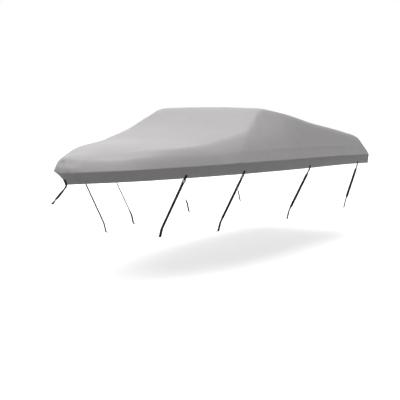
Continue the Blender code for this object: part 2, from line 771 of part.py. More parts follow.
if __name__ == "__main__":
    main()
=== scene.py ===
"""
Looks of a fitted runabout cover: the cloth top and skirt as sewn sheets, the
webbing tabs and tie-down straps, and the slide buckles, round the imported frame.

Metres, Z up, the bow towards -X, port -Y.  Lengths along the boat ("fwd") are
measured ahead of the transom and heights ("up") from the rub rail at the
transom, as the solids are.
"""

import math

import bmesh
import bpy
import numpy as np
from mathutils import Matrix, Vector


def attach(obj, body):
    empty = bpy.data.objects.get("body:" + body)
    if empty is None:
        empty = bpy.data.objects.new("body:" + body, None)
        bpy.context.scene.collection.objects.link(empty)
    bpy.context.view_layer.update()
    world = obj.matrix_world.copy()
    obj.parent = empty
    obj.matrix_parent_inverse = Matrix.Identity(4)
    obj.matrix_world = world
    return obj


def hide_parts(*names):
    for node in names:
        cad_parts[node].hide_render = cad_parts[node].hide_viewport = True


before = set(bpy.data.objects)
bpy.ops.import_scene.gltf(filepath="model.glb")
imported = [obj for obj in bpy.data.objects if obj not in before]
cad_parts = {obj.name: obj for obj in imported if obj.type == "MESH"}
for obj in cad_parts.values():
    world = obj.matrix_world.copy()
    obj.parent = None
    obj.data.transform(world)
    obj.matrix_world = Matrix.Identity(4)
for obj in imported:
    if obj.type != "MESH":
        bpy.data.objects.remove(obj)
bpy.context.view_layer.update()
scene = bpy.context.scene

# ----------------------------------------------------------------------------
# camera: at the photograph's viewing angle
# ----------------------------------------------------------------------------
CAMERA_AT = (-8.808, -5.579, 0.004)
CAMERA_TURN = 32.789            # degrees, towards +Y from +X
CAMERA_DOWN = 6.244             # degrees below the horizon
LENS = 76.5                     # mm on a 36 mm sensor
FLOOR_Z = -1.825

turn, down = math.radians(CAMERA_TURN), math.radians(CAMERA_DOWN)
look = Vector((math.cos(turn) * math.cos(down), math.sin(turn) * math.cos(down),
               -math.sin(down)))
lens = bpy.data.cameras.new("camera")
lens.lens = LENS
lens.sensor_width = 36.0
lens.sensor_fit = "HORIZONTAL"
lens.clip_end = 500.0
camera = bpy.data.objects.new("camera", lens)
camera.location = CAMERA_AT
camera.rotation_euler = look.to_track_quat("-Z", "Y").to_euler()
scene.collection.objects.link(camera)
scene.camera = camera

# ----------------------------------------------------------------------------
# driving dimensions, the same as the solids'
# ----------------------------------------------------------------------------
LENGTH = 5.400          # transom to bow tip, along the rub rail
CLOTH = 0.0020          # thickness of the coated cloth with its seam tape
GAP = 0.0003            # between pieces that touch
ORIGIN_FWD = 2.780      # the origin: middle of the windshield, ahead of the transom
CORNER_FWD = 0.080      # transom corner, as seen from above: its length ...
CORNER_IN = 0.070       # ... and its width
AFT_SLOPE = 1.15        # rise of the cloth ahead of the transom
AFT_SOFT = 0.14
SPINE_AFT = 0.330       # the centre line that the rings close on
SPINE_BOW = 5.230

# rub rail, seen from above and from the side
RAIL = (
    # fwd    half_beam  up
    (0.000,  1.025,   0.000),
    (0.450,  1.045,   0.018),
    (1.200,  1.062,   0.038),
    (2.100,  1.070,   0.055),
    (2.700,  1.060,   0.062),
    (3.200,  1.022,   0.066),
    (3.700,  0.938,   0.066),
    (4.200,  0.800,   0.062),
    (4.600,  0.648,   0.057),
    (4.950,  0.466,   0.050),
    (5.200,  0.285,   0.043),
    (5.330,  0.163,   0.039),
    (5.400,  0.000,   0.036),
)

# the top cloth across the boat: heights are above the rub rail
TOP = (
    # fwd    shoulder_y  shoulder_up  centre_up  fullness  soft    wall_up  wall_soft  wall_slope
    (0.000,  0.890,      0.175,       0.185,     2.0,      0.050,  0.055,   0.100,     2.6),
    (0.400,  0.950,      0.260,       0.270,     2.0,      0.040,  0.080,   0.100,     2.9),
    (1.000,  0.938,      0.348,       0.360,     2.0,      0.035,  0.100,   0.100,     2.8),
    (1.700,  0.905,      0.426,       0.440,     2.0,      0.035,  0.110,   0.100,     2.8),
    (2.400,  0.815,      0.552,       0.571,     2.2,      0.045,  0.120,   0.100,     2.8),
    (2.720,  0.740,      0.597,       0.610,     2.2,      0.050,  0.120,   0.100,     2.8),
    (2.850,  0.748,      0.548,       0.604,     2.3,      0.050,  0.120,   0.100,     2.8),
    (3.000,  0.790,      0.465,       0.548,     2.4,      0.050,  0.095,   0.070,     2.8),
    (3.150,  0.830,      0.390,       0.480,     2.4,      0.050,  0.085,   0.060,     2.8),
    (3.290,  0.853,      0.329,       0.419,     2.4,      0.050,  0.077,   0.050,     2.8),
    (3.500,  0.818,      0.290,       0.351,     2.3,      0.045,  0.080,   0.040,     2.7),
    (3.700,  0.780,      0.255,       0.304,     2.2,      0.040,  0.075,   0.035,     2.6),
    (3.950,  0.752,      0.216,       0.264,     2.0,      0.035,  0.050,   0.030,     2.5),
    (4.250,  0.684,      0.194,       0.240,     2.0,      0.030,  0.031,   0.030,     2.4),
    (4.500,  0.582,      0.184,       0.230,     2.0,      0.030,  0.044,   0.030,     2.4),
    (4.780,  0.422,      0.169,       0.209,     2.0,      0.030,  0.065,   0.030,     2.4),
    (5.060,  0.248,      0.146,       0.175,     2.0,      0.050,  0.074,   0.050,     2.5),
    (5.260,  0.130,      0.146,       0.158,     2.0,      0.070,  0.074,   0.070,     2.8),
    (5.400,  0.040,      0.124,       0.131,     2.0,      0.070,  0.092,   0.090,     3.4),
)

# the skirt: how far it hangs below the rub rail and how far it tucks in
SKIRT = (
    # fwd    drop    tuck
    (0.000,  0.125,  0.012),
    (1.000,  0.125,  0.016),
    (2.000,  0.130,  0.024),
    (3.000,  0.128,  0.036),
    (4.000,  0.124,  0.052),
    (4.800,  0.122,  0.074),
    (5.200,  0.120,  0.104),
    (5.360,  0.119,  0.116),
    (5.400,  0.118,  0.062),
)

# webbing, buckles and where the straps run, in metres
WEB = 0.038             # width of the side straps
TAB_WEB = 0.032         # width of the tabs sewn to the skirt
BOW_WEB = 0.025         # width of the bow strap
PLY = 0.0015            # thickness of one layer
TIE_GAP = 0.0014        # between webbing and the cloth it lies on
BAR = 0.006             # height of a buckle's outer bars
MID_BAR = 0.012         # and of its middle bar
BUCKLE_WIDE = 0.048
BUCKLE_LONG = 0.036
BUCKLE_THICK = 0.0045
BUCKLE_SIDE = 0.004     # width of a buckle's side bars
BELOW_HEM = 0.016       # hem to the middle of a buckle's top bar
DOUBLE = 0.022          # length of strap that is doubled under a buckle
TUCKED = 0.035          # the end of a strap, turned in under the trailer rail

# side ties: where each leaves the skirt, how far aft of its foot the top of the
# tab is, how far aft of the skirt the strap meets the trailer rail, half widths
# (y) and heights of its bend on the rail's upper edge and of its lower edge,
# and how far the strap is turned on its length, its outer face to the bow
TIES = (
    # fwd    tab_top  lean    aft     bend_y  bend_up  low_y   low_up   turn
    (4.326,  0.70,    0.013,  0.018,  0.394,  -0.611,  0.367,  -0.706,   0.0),
    (3.518,  0.70,    0.011,  0.020,  0.627,  -0.619,  0.599,  -0.723,  12.0),
    (2.056,  0.72,    0.000,  0.000,  0.767,  -0.625,  0.742,  -0.732,  28.0),
    (0.497,  0.75,    0.000,  0.000,  0.866,  -0.628,  0.842,  -0.736,  36.0),
)
TURN_FROM = 0.056       # below the hem, where a strap starts to turn
TURN_OVER = 0.040       # and over what length; it turns back as it nears the rail
TRAILER_RAIL = (
    # fwd    half_width
    (0.000,  0.895),
    (0.497,  0.866),
    (2.056,  0.767),
    (3.499,  0.627),
    (4.296,  0.394),
    (5.200,  0.120),
)

# bow strap, from the stem of the skirt to the winch post, on the centre line
BOW_STRAP = (
    # fwd    up      twist (degrees about its length)
    (5.352,  -0.109,    0.0),
    (5.372,  -0.124,    6.0),
    (5.396,  -0.142,   -6.0),
    (5.424,  -0.163,  -24.0),
    (5.452,  -0.184,  -26.0),
    (5.482,  -0.205,  -18.0),
    (5.504,  -0.221,   22.0),
    (5.526,  -0.238,   -6.0),
    (5.548,  -0.254,  -18.0),
)


def column(table, index):
    return np.array([row[index] for row in table], float)


def slopes(x, y):
    """Monotone cubic slopes for a table column (Fritsch and Butland)."""
    h = np.diff(x)
    d = np.diff(y) / h
    m = np.zeros(len(x))
    for i in range(1, len(x) - 1):
        if d[i - 1] * d[i] > 0.0:
            a = 2.0 * h[i] + h[i - 1]
            b = h[i] + 2.0 * h[i - 1]
            m[i] = (a + b) / (a / d[i - 1] + b / d[i])
    m[0], m[-1] = d[0], d[-1]
    return m


def follow(x, y, at):
    """Smooth curve through a table's rows, held level past its ends."""
    m = slopes(x, y)
    at = np.clip(np.asarray(at, float), x[0], x[-1])
    i = np.clip(np.searchsorted(x, at, side="right") - 1, 0, len(x) - 2)
    h = x[i + 1] - x[i]
    t = (at - x[i]) / h
    t2, t3 = t * t, t * t * t
    return ((2 * t3 - 3 * t2 + 1) * y[i] + (t3 - 2 * t2 + t) * h * m[i]
            + (-2 * t3 + 3 * t2) * y[i + 1] + (t3 - t2) * h * m[i + 1])


def of_table(table, index, fwd):
    return follow(column(table, 0), column(table, index), fwd)


def half_beam(fwd):
    """Half the width at the rub rail.  Its square is what is interpolated,
    which rounds the bow; the transom corner is a quarter ellipse."""
    b = np.sqrt(np.maximum(follow(column(RAIL, 0), column(RAIL, 1) ** 2, fwd), 0.0))
    t = np.clip(1.0 - np.asarray(fwd, float) / CORNER_FWD, 0.0, 1.0)
    return b - CORNER_IN * (1.0 - np.sqrt(1.0 - t * t))


def soft_min(a, b, k):
    """The smaller of two heights, with the edge between them rounded."""
    h = np.maximum(k - np.abs(a - b), 0.0) / k
    return np.minimum(a, b) - h * h * k * 0.25


# ----------------------------------------------------------------------------
# the rub rail seen from above, once round the boat
# ----------------------------------------------------------------------------
def half_outline(transom, corner, side, nose):
    """Port half of the rub rail from the middle of the transom to the bow tip,
    with so many steps in each stretch: rows of (fwd, half width)."""
    b0 = float(half_beam(0.0))
    rows = [(0.0, b0 * i / transom) for i in range(transom)]
    for i in range(corner):
        a = 0.5 * math.pi * i / corner
        fwd = CORNER_FWD * (1.0 - math.cos(a))
        rows.append((fwd, float(half_beam(fwd))))
    nose_from = 4.80
    for i in range(side):
        fwd = CORNER_FWD + (nose_from - CORNER_FWD) * i / side
        rows.append((fwd, float(half_beam(fwd))))
    for i in range(nose + 1):
        t = 1.0 - i / nose
        fwd = LENGTH - (LENGTH - nose_from) * t ** 1.8
        rows.append((fwd, float(half_beam(fwd))))
    return np.array(rows)


def whole_outline(half):
    """Both sides: port first, then back along starboard (port is +1 here, the
    sign is turned when the frame is set)."""
    star = half[-2:0:-1] * np.array([1.0, -1.0])
    return np.vstack([half, star])


DENSE = whole_outline(half_outline(40, 24, 160, 60))


def rail_distance(fwd, y):
    """Distance, seen from above, to the rub rail."""
    a = DENSE
    b = np.roll(DENSE, -1, axis=0)
    ab = b - a
    p = np.stack([np.ravel(fwd), np.ravel(y)], 1)
    best = np.full(len(p), 1e9)
    for k in range(0, len(p), 4000):
        q = p[k:k + 4000, None, :]
        t = np.clip(((q - a) * ab).sum(2) / (ab * ab).sum(1), 0.0, 1.0)
        d = np.sqrt((((a + t[..., None] * ab) - q) ** 2).sum(2)).min(1)
        best[k:k + 4000] = d
    return best.reshape(np.shape(fwd))


# ----------------------------------------------------------------------------
# the form of the top
# ----------------------------------------------------------------------------
def top_up(fwd, y):
    """Height of the top cloth's outer face at a place seen from above."""
    fwd = np.asarray(fwd, float)
    y = np.abs(np.asarray(y, float))
    b = np.maximum(half_beam(fwd), 0.02)
    shoulder = np.minimum(of_table(TOP, 1, fwd), 0.9 * b)
    high = of_table(TOP, 2, fwd)
    middle = of_table(TOP, 3, fwd)
    fullness = of_table(TOP, 4, fwd)
    soft = of_table(TOP, 5, fwd)
    wall = of_table(TOP, 6, fwd)
    wall_soft = of_table(TOP, 7, fwd)
    wall_slope = of_table(TOP, 8, fwd)
    lean = (high - wall) / (b - shoulder)
    side = wall + lean * (b - y)
    crown = middle - (middle - high) * (np.minimum(y, shoulder) / shoulder) ** fullness
    past = np.minimum(fullness * (middle - high) / shoulder, 0.7 * lean)
    crown = crown - past * np.maximum(y - shoulder, 0.0)
    z = soft_min(crown, side, soft)
    z = soft_min(z, 0.04 + AFT_SLOPE * fwd, AFT_SOFT)
    z = soft_min(z, wall_slope * rail_distance(fwd, y),
                 np.minimum(wall_soft, wall))
    return of_table(RAIL, 2, fwd) + np.maximum(z, 0.0)


def spine_fwd(fwd):
    """Where on the centre line the ring lines from a place on the rail close."""
    low, high = 0.80, 4.60
    aft = SPINE_AFT + (low - SPINE_AFT) * fwd / low
    bow = high + (SPINE_BOW - high) * (fwd - high) / (LENGTH - high)
    return np.where(fwd < low, aft, np.where(fwd > high, bow, fwd))


def grid_of_top(half, wall_steps, side_steps, crown_steps):
    """Rings from the rail to the centre line, over the port half.
    Returns fwd, y of shape (stations, rings)."""
    fwd0, y0 = half[:, 0], half[:, 1]
    spine = spine_fwd(fwd0)
    reach = np.sqrt((spine - fwd0) ** 2 + y0 ** 2)
    wall = np.minimum(0.045 / reach, 0.3)
    shoulder = 1.0 - of_table(TOP, 1, fwd0) / np.maximum(y0, 0.05)
    shoulder = np.clip(shoulder, 0.24, 0.62)
    shoulder = np.where(fwd0 < CORNER_FWD,
                        0.24 + 0.38 * (1.0 - np.clip(fwd0 / CORNER_FWD, 0, 1)) ** 0.5,
                        shoulder)
    rings = []
    for i in range(len(half)):
        a = np.linspace(0.0, wall[i], wall_steps + 1)
        b = np.linspace(wall[i], shoulder[i], side_steps + 1)[1:]
        c = shoulder[i] + (1 - shoulder[i]) * np.linspace(0, 1, crown_steps + 1)[1:] ** 1.15
        rings.append(np.concatenate([a, b, c]))
    w = np.array(rings)
    return fwd0[:, None] + (spine - fwd0)[:, None] * w, y0[:, None] * (1.0 - w)


ORIGIN_UP = float(top_up(ORIGIN_FWD, 0.0)) - CLOTH


def to_frame(fwd, y, up):
    """To the part's frame: port (y positive up to here) is -Y, the bow is -X."""
    return np.stack(np.broadcast_arrays(ORIGIN_FWD - np.asarray(fwd, float),
                                        -np.asarray(y, float),
                                        np.asarray(up, float) - ORIGIN_UP), -1)


def inboard(outline):
    """Unit vectors, seen from above, pointing into the boat from the rail."""
    t = np.roll(outline, -1, axis=0) - np.roll(outline, 1, axis=0)
    n = np.stack([t[:, 1], -t[:, 0]], 1)
    n /= np.linalg.norm(n, axis=1)[:, None]
    core = np.stack([np.clip(outline[:, 0], 1.0, 4.2), 0 * outline[:, 1]], 1)
    return n * np.sign(((core - outline) * n).sum(1))[:, None]


def skirt_place(fwd0, y0, n_in, t):
    """A place on the skirt's outer face, t of the way from rail to hem."""
    tuck = of_table(SKIRT, 2, fwd0) * t * (1.3 - 0.3 * t)
    drop = of_table(SKIRT, 1, fwd0) * t
    return (fwd0 + n_in[..., 0] * tuck, y0 + n_in[..., 1] * tuck,
            of_table(RAIL, 2, fwd0) - drop)


def unit(v):
    return v / np.maximum(np.linalg.norm(v, axis=-1, keepdims=True), 1e-12)


# ----------------------------------------------------------------------------
# how the cloth lies: soft ridges (height over 0) and troughs (under 0), each
# along a line on the top as seen from above
# ----------------------------------------------------------------------------
FOLDS = (
    # fwd_a  y_a     fwd_b  y_b     width  height
    (5.392,  0.000,  5.335, -0.045, 0.014, -0.0034),     # folds over the bow
    (5.390,  0.050,  5.330,  0.018, 0.013,  0.0050),
    (5.370,  0.104,  5.240,  0.090, 0.022, -0.0028),
    (5.320,  0.160,  5.140,  0.150, 0.026,  0.0024),
    (5.384, -0.062,  5.270, -0.080, 0.015,  0.0040),
    (5.350, -0.125,  5.180, -0.120, 0.020, -0.0030),
    (4.960,  0.300,  4.700,  0.330, 0.040, -0.0026),     # slack along the foredeck
    (4.960, -0.300,  4.700, -0.330, 0.040, -0.0026),
    (4.420,  0.655,  3.960,  0.800, 0.036,  0.0022),
    (4.420, -0.655,  3.960, -0.800, 0.036,  0.0022),
    (3.330,  0.885,  3.640,  0.945, 0.028,  0.0030),     # pulled from the windshield
    (3.330, -0.885,  3.660, -0.945, 0.028,  0.0030),
    (3.200,  0.870,  2.950,  0.990, 0.032, -0.0028),
    (3.200, -0.870,  2.930, -0.990, 0.032, -0.0028),
    (2.640,  0.775,  2.080,  0.960, 0.050, -0.0035),     # down the sides
    (2.640, -0.780,  2.040, -0.960, 0.050, -0.0035),
    (2.200,  0.800,  1.500,  0.980, 0.045,  0.0025),
    (2.180, -0.800,  1.440, -0.980, 0.045,  0.0025),
    (2.168,  0.908,  2.148,  0.945, 0.012,  0.0088),     # a small pucker
    (2.192,  0.914,  2.174,  0.950, 0.012, -0.0070),
    (1.300,  0.830,  0.700,  0.985, 0.050, -0.0030),
    (1.280, -0.830,  0.680, -0.985, 0.050, -0.0030),
    (0.520,  0.880,  0.140,  0.985, 0.042,  0.0050),     # transom corners
    (0.420,  0.830,  0.080,  0.900, 0.030, -0.0045),
    (0.520, -0.880,  0.140, -0.985, 0.042,  0.0050),
    (0.420, -0.830,  0.080, -0.900, 0.030, -0.0045),
    (0.300,  0.620,  0.060,  0.680, 0.034,  0.0035),     # down the transom
    (0.300,  0.250,  0.060,  0.300, 0.036, -0.0030),
    (0.300, -0.180,  0.060, -0.160, 0.040,  0.0032),
    (0.300, -0.560,  0.060, -0.640, 0.034, -0.0032),
    (2.300,  0.300,  0.900,  0.360, 0.090, -0.0030),     # long slack over the cockpit
    (2.300, -0.320,  0.900, -0.340, 0.090, -0.0030),
    (2.200,  0.020,  0.700, -0.020, 0.080,  0.0022),
)


def smooth_step(x):
    x = np.clip(x, 0.0, 1.0)
    return x * x * (3.0 - 2.0 * x)


def fold_height(fwd, y):
    """Height added by all the folds, along the cloth's outward normal."""
    total = np.zeros(np.shape(fwd))
    for fa, ya, fb, yb, width, height in FOLDS:
        du, dv = fb - fa, yb - ya
        length = math.hypot(du, dv)
        t = ((fwd - fa) * du + (y - ya) * dv) / length ** 2
        across = ((fwd - fa) * dv - (y - ya) * du) / length
        wander = 0.25 * width * np.sin(5.0 * t + 40.0 * fa)
        ends = smooth_step((t + 0.25) / 0.45) * smooth_step((1.25 - t) / 0.45)
        total += height * ends * np.exp(-((across - wander) / width) ** 2)
    return total


# Where the cloth along the foredeck stands a little fuller: from and to along
# the rail, how far up from the rail, how wide, how high; then the same forward
# end for the other side, which is drawn tighter.
SWELLS = (
    (3.80, 4.95, 0.115, 0.085, 0.0100, 4.45),
)


def swell_height(rail_fwd, rail_y, girth):
    """Height added by the swells, with soft ends."""
    total = 0.0 * girth
    for a, b, centre, width, height, other in SWELLS:
        b = np.where(rail_y > 0.0, b, other)
        ends = smooth_step((rail_fwd - a) / 0.20) * smooth_step((b - rail_fwd) / 0.20)
        total = total + (height * ends * smooth_step(girth / 0.030)
                         * np.exp(-((girth - centre) / width) ** 2))
    return total


def wave(s, length, phase):
    """An uneven wave: three lengths that never line up, between about -1, 1."""
    k = 2.0 * math.pi / length
    return (0.5 * np.sin(k * s + phase) + 0.32 * np.sin(0.618 * k * s + 2.3 * phase)
            + 0.26 * np.sin(1.71 * k * s + 0.7 * phase))


# ----------------------------------------------------------------------------
# mesh helpers
# ----------------------------------------------------------------------------
def grid_faces(rows, columns, closed):
    """Quads between rows of points; closed joins the last row to the first."""
    i = np.arange(rows if closed else rows - 1)[:, None]
    j = np.arange(columns - 1)[None, :]
    k = (i + 1) % rows
    return np.stack([i * columns + j, k * columns + j,
                     k * columns + j + 1, i * columns + j + 1], -1).reshape(-1, 4)


def surface_normals(points, quads):
    n = np.zeros_like(points)
    for a, b, c in ((0, 1, 2), (0, 2, 3)):
        w = np.cross(points[quads[:, b]] - points[quads[:, a]],
                     points[quads[:, c]] - points[quads[:, a]])
        for k in (a, b, c):
            np.add.at(n, quads[:, k], w)
    return unit(n)


def join_points(points):
    """Index of the first point at each place, to weld points that coincide."""
    key = np.round(points, 5)
    _, first, back = np.unique(key, axis=0, return_index=True, return_inverse=True)
    back = np.ravel(back)
    order = np.argsort(first)
    place = np.empty(len(first), int)
    place[order] = np.arange(len(first))
    return first[order], place[back]


def put_mesh(name, points, faces, corner_uv, materials, sharp=None, face_material=None):
    mesh = bpy.data.meshes.new(name)
    mesh.from_pydata([tuple(p) for p in points.tolist()], [], faces)
    if corner_uv is not None:
        layer = mesh.uv_layers.new(name="cloth")
        layer.data.foreach_set("uv", np.asarray(corner_uv, float).ravel())
    mesh.shade_smooth()
    if sharp:
        mesh.set_sharp_from_angle(angle=math.radians(sharp))
    for m in materials:
        mesh.materials.append(m)
    if face_material is not None:
        mesh.polygons.foreach_set("material_index", face_material)
    mesh.update()
    ob = bpy.data.objects.new(name, mesh)
    scene.collection.objects.link(ob)
    return ob


def cloth_shell(name, points, uv, quads, thick, material, lift=None):
    """A closed thin shell from an open grid.  lift is added along the outward
    normal, which points away from the middle of the boat."""
    first, place = join_points(points)
    merged = place[quads]
    flat_points = points[first].copy()
    normal = surface_normals(flat_points, merged)
    middle = np.array([0.4, 0.0, -0.75])
    core = np.stack([np.clip(flat_points[:, 0], -1.6, 2.0), 0 * flat_points[:, 1],
                     0 * flat_points[:, 2] + middle[2]], 1)
    if ((flat_points - core) * normal).sum() < 0.0:
        quads, merged, normal = quads[:, ::-1], merged[:, ::-1], -normal
    if lift is not None:
        flat_points += normal * lift[first][:, None]
        normal = surface_normals(flat_points, merged)
    thickness = thick[first] if hasattr(thick, "__len__") else thick
    inner = flat_points - normal * np.reshape(thickness, (-1, 1))
    n = len(flat_points)
    faces, corner_uv, edges = [], [], {}
    for loop, source in zip(merged.tolist(), quads.tolist()):
        keep = [k for k in range(4) if loop[k] != loop[k - 1]]
        if len(keep) < 3:
            continue
        f, g = [loop[k] for k in keep], [source[k] for k in keep]
        faces.append(f)
        corner_uv += [uv[i] for i in g]
        faces.append([n + i for i in reversed(f)])
        corner_uv += [uv[i] for i in reversed(g)]
        for (a, b), (c, d) in zip(zip(f, f[1:] + f[:1]), zip(g, g[1:] + g[:1])):
            edges[a, b] = (c, d)
    for (a, b), (c, d) in edges.items():
        if (b, a) not in edges:
            faces.append([b, a, n + a, n + b])
            corner_uv += [uv[d], uv[c], uv[c], uv[d]]
    return put_mesh(name, np.vstack([flat_points, inner]), faces, corner_uv,
                    [material], sharp=60)


# ----------------------------------------------------------------------------
# materials
# ----------------------------------------------------------------------------
class Nodes:
    """Short names for building a node tree."""

    def __init__(self, name):
        self.material = bpy.data.materials.new(name)
        self.material.use_nodes = True
        self.tree = self.material.node_tree
        self.shader = self.tree.nodes["Principled BSDF"]

    def add(self, kind, **sockets):
        node = self.tree.nodes.new(kind)
        for key, value in sockets.items():
            self.set(node, key.replace("_", " "), value)
        return node

    def set(self, node, key, value):
        socket = node.inputs[key]
        if isinstance(value, bpy.types.NodeSocket):
            self.tree.links.new(value, socket)
        else:
            socket.default_value = value

    def math(self, operation, a, b=0.0, c=0.0):
        node = self.tree.nodes.new("ShaderNodeMath")
        node.operation = operation
        for k, v in enumerate((a, b, c)):
            if isinstance(v, bpy.types.NodeSocket):
                self.tree.links.new(v, node.inputs[k])
            else:
                node.inputs[k].default_value = v
        return node.outputs[0]

    def noise(self, vector, scale, detail=3.0, rough=0.5):
        node = self.add("ShaderNodeTexNoise", Vector=vector, Scale=scale,
                        Detail=detail, Roughness=rough)
        return node.outputs["Fac"]

    def range(self, value, a, b, c, d):
        node = self.tree.nodes.new("ShaderNodeMapRange")
        node.clamp = True
        self.set(node, "Value", value)
        for key, v in (("From Min", a), ("From Max", b), ("To Min", c), ("To Max", d)):
            node.inputs[key].default_value = v
        return node.outputs["Result"]

    def mix(self, factor, a, b):
        node = self.tree.nodes.new("ShaderNodeMix")
        node.data_type = "RGBA"
        for key, v in ((0, factor), (6, a), (7, b)):
            if isinstance(v, bpy.types.NodeSocket):
                self.tree.links.new(v, node.inputs[key])
            else:
                node.inputs[key].default_value = v
        return node.outputs[2]

    def stretch(self, vector, x, y, z=1.0):
        node = self.tree.nodes.new("ShaderNodeMapping")
        self.set(node, "Vector", vector)
        node.inputs["Scale"].default_value = (x, y, z)
        return node.outputs["Vector"]

    def bump(self, height, distance, strength, after=None):
        node = self.tree.nodes.new("ShaderNodeBump")
        node.inputs["Distance"].default_value = distance
        node.inputs["Strength"].default_value = strength
        self.set(node, "Height", height)
        if after is not None:
            self.set(node, "Normal", after)
        return node.outputs["Normal"]


def plain_weave(m, uv, pitch):
    """Height of a plain weave, 0 to 1, with threads `pitch` apart along both
    directions of the cloth; also how near a place is to a gap."""
    split = m.add("ShaderNodeSeparateXYZ", Vector=uv)
    k = math.pi / pitch
    u = m.math("SINE", m.math("MULTIPLY", split.outputs[0], k))
    v = m.math("SINE", m.math("MULTIPLY", split.outputs[1], k))
    over = m.math("MULTIPLY", u, v)
    warp = m.math("ABSOLUTE", u)
    weft = m.math("ABSOLUTE", v)
    turned = m.range(over, -0.2, 0.2, 0.0, 1.0)
    height = m.math("ADD", m.math("MULTIPLY", warp, turned),
                    m.math("MULTIPLY", weft, m.math("SUBTRACT", 1.0, turned)))
    gap = m.math("MULTIPLY", warp, weft)
    return height, gap


def cloth_material(name, colour, shade, pitch=0.0009):
    """Coated polyester: a fine plain weave, slightly uneven threads and faint
    larger mottling; `shade` is painted shade, mixed in down between the threads."""
    m = Nodes(name)
    uv = m.tree.nodes.new("ShaderNodeUVMap")
    uv.uv_map = "cloth"
    uv = uv.outputs[0]
    place = m.add("ShaderNodeTexCoord").outputs["Object"]
    height, gap = plain_weave(m, uv, pitch)
    slub = m.noise(m.stretch(uv, 18.0, 420.0), 1.0, 2.0)
    slub_2 = m.noise(m.stretch(uv, 420.0, 18.0), 1.0, 2.0)
    threads = m.math("ADD", m.math("MULTIPLY", slub, 0.5), m.math("MULTIPLY", slub_2, 0.5))
    broad = m.noise(place, 1.7, 3.0, 0.55)
    fine = m.noise(place, 11.0, 4.0, 0.6)
    tone = m.math("ADD", m.range(broad, 0.3, 0.7, 0.0, 0.6), m.range(fine, 0.3, 0.7, 0.0, 0.4))
    light = tuple(min(1.0, c * 1.035) for c in colour) + (1.0,)
    dark = tuple(c * 0.955 for c in colour) + (1.0,)
    base = m.mix(tone, dark, light)
    # painted shade: up to 30% of `shade` is mixed in where the weave dips between the threads
    base = m.mix(m.range(gap, 0.0, 0.5, 0.30, 0.0), base, (*shade, 1.0))
    m.set(m.shader, "Base Color", base)
    m.set(m.shader, "Roughness", m.range(threads, 0.35, 0.65, 0.70, 0.84))
    m.shader.inputs["Specular IOR Level"].default_value = 0.32
    m.shader.inputs["Sheen Weight"].default_value = 0.10
    m.shader.inputs["Sheen Roughness"].default_value = 0.45
    slack = m.noise(place, 7.0, 2.0, 0.5)
    n = m.bump(slack, 0.010, 0.16)
    n = m.bump(threads, 0.0006, 0.35, n)
    n = m.bump(height, 0.00025, 0.55, n)
    m.set(m.shader, "Normal", n)
    return m.material


def webbing_material(name, colour, worn, wide):
    """Flat woven webbing: rows of short floats that lean left and right, with a
    bound edge a little lighter where it rubs."""
    m = Nodes(name)
    uv = m.tree.nodes.new("ShaderNodeUVMap")
    uv.uv_map = "cloth"
    split = m.add("ShaderNodeSeparateXYZ", Vector=uv.outputs[0])
    along, across = split.outputs[0], split.outputs[1]
    rib = m.math("ABSOLUTE", m.math("SINE", m.math("MULTIPLY", across, math.pi / 0.0021)))
    lean = m.math("MULTIPLY", m.math("PINGPONG", across, 0.0021), 0.9)
    row = m.math("ABSOLUTE", m.math("SINE", m.math("MULTIPLY", m.math("ADD", along, lean),
                                                 math.pi / 0.0016)))
    height = m.math("MULTIPLY", rib, m.range(row, 0.0, 1.0, 0.35, 1.0))
    edge = m.range(m.math("ABSOLUTE", across), 0.5 * wide - 0.0018, 0.5 * wide - 0.0003, 0.0, 1.0)
    fuzz = m.noise(m.stretch(uv.outputs[0], 260.0, 900.0), 1.0, 3.0)
    tone = m.math("MULTIPLY", m.range(height, 0.2, 1.0, 0.0, 0.75), m.range(fuzz, 0.3, 0.7, 0.7, 1.3))
    base = m.mix(tone, (*colour, 1.0), (*worn, 1.0))
    base = m.mix(m.math("MULTIPLY", edge, 0.55), base, (*worn, 1.0))
    m.set(m.shader, "Base Color", base)
    m.set(m.shader, "Roughness", m.range(height, 0.0, 1.0, 0.82, 0.66))
    m.shader.inputs["Specular IOR Level"].default_value = 0.18
    m.shader.inputs["Sheen Weight"].default_value = 0.02
    n = m.bump(height, 0.0004, 0.9)
    n = m.bump(fuzz, 0.0002, 0.4, n)
    m.set(m.shader, "Normal", n)
    return m.material


def plastic_material(name):
    """Moulded black acetal: satin, a fine grain, paler scuffs on its edges."""
    m = Nodes(name)
    place = m.add("ShaderNodeTexCoord").outputs["Object"]
    grain = m.noise(place, 900.0, 3.0)
    scuff = m.noise(place, 160.0, 5.0, 0.7)
    edge = m.add("ShaderNodeNewGeometry").outputs["Pointiness"]
    worn = m.math("MULTIPLY", m.range(edge, 0.52, 0.60, 0.0, 1.0), m.range(scuff, 0.45, 0.62, 0.0, 1.0))
    base = m.mix(worn, (0.016, 0.016, 0.018, 1.0), (0.075, 0.075, 0.080, 1.0))
    m.set(m.shader, "Base Color", base)
    m.set(m.shader, "Roughness", m.range(scuff, 0.3, 0.7, 0.32, 0.50))
    m.shader.inputs["Specular IOR Level"].default_value = 0.5
    m.set(m.shader, "Normal", m.bump(grain, 0.0002, 0.25))
    return m.material


def thread_material(name, colour):
    m = Nodes(name)
    place = m.add("ShaderNodeTexCoord").outputs["Object"]
    twist = m.noise(place, 2600.0, 2.0)
    tone = m.noise(place, 40.0, 2.0)
    base = m.mix(m.range(tone, 0.3, 0.7, 0.0, 1.0), tuple(c * 0.86 for c in colour) + (1.0,),
                 (*colour, 1.0))
    m.set(m.shader, "Base Color", base)
    m.set(m.shader, "Roughness", m.range(twist, 0.3, 0.7, 0.45, 0.65))
    m.set(m.shader, "Normal", m.bump(twist, 0.0002, 0.5))
    return m.material


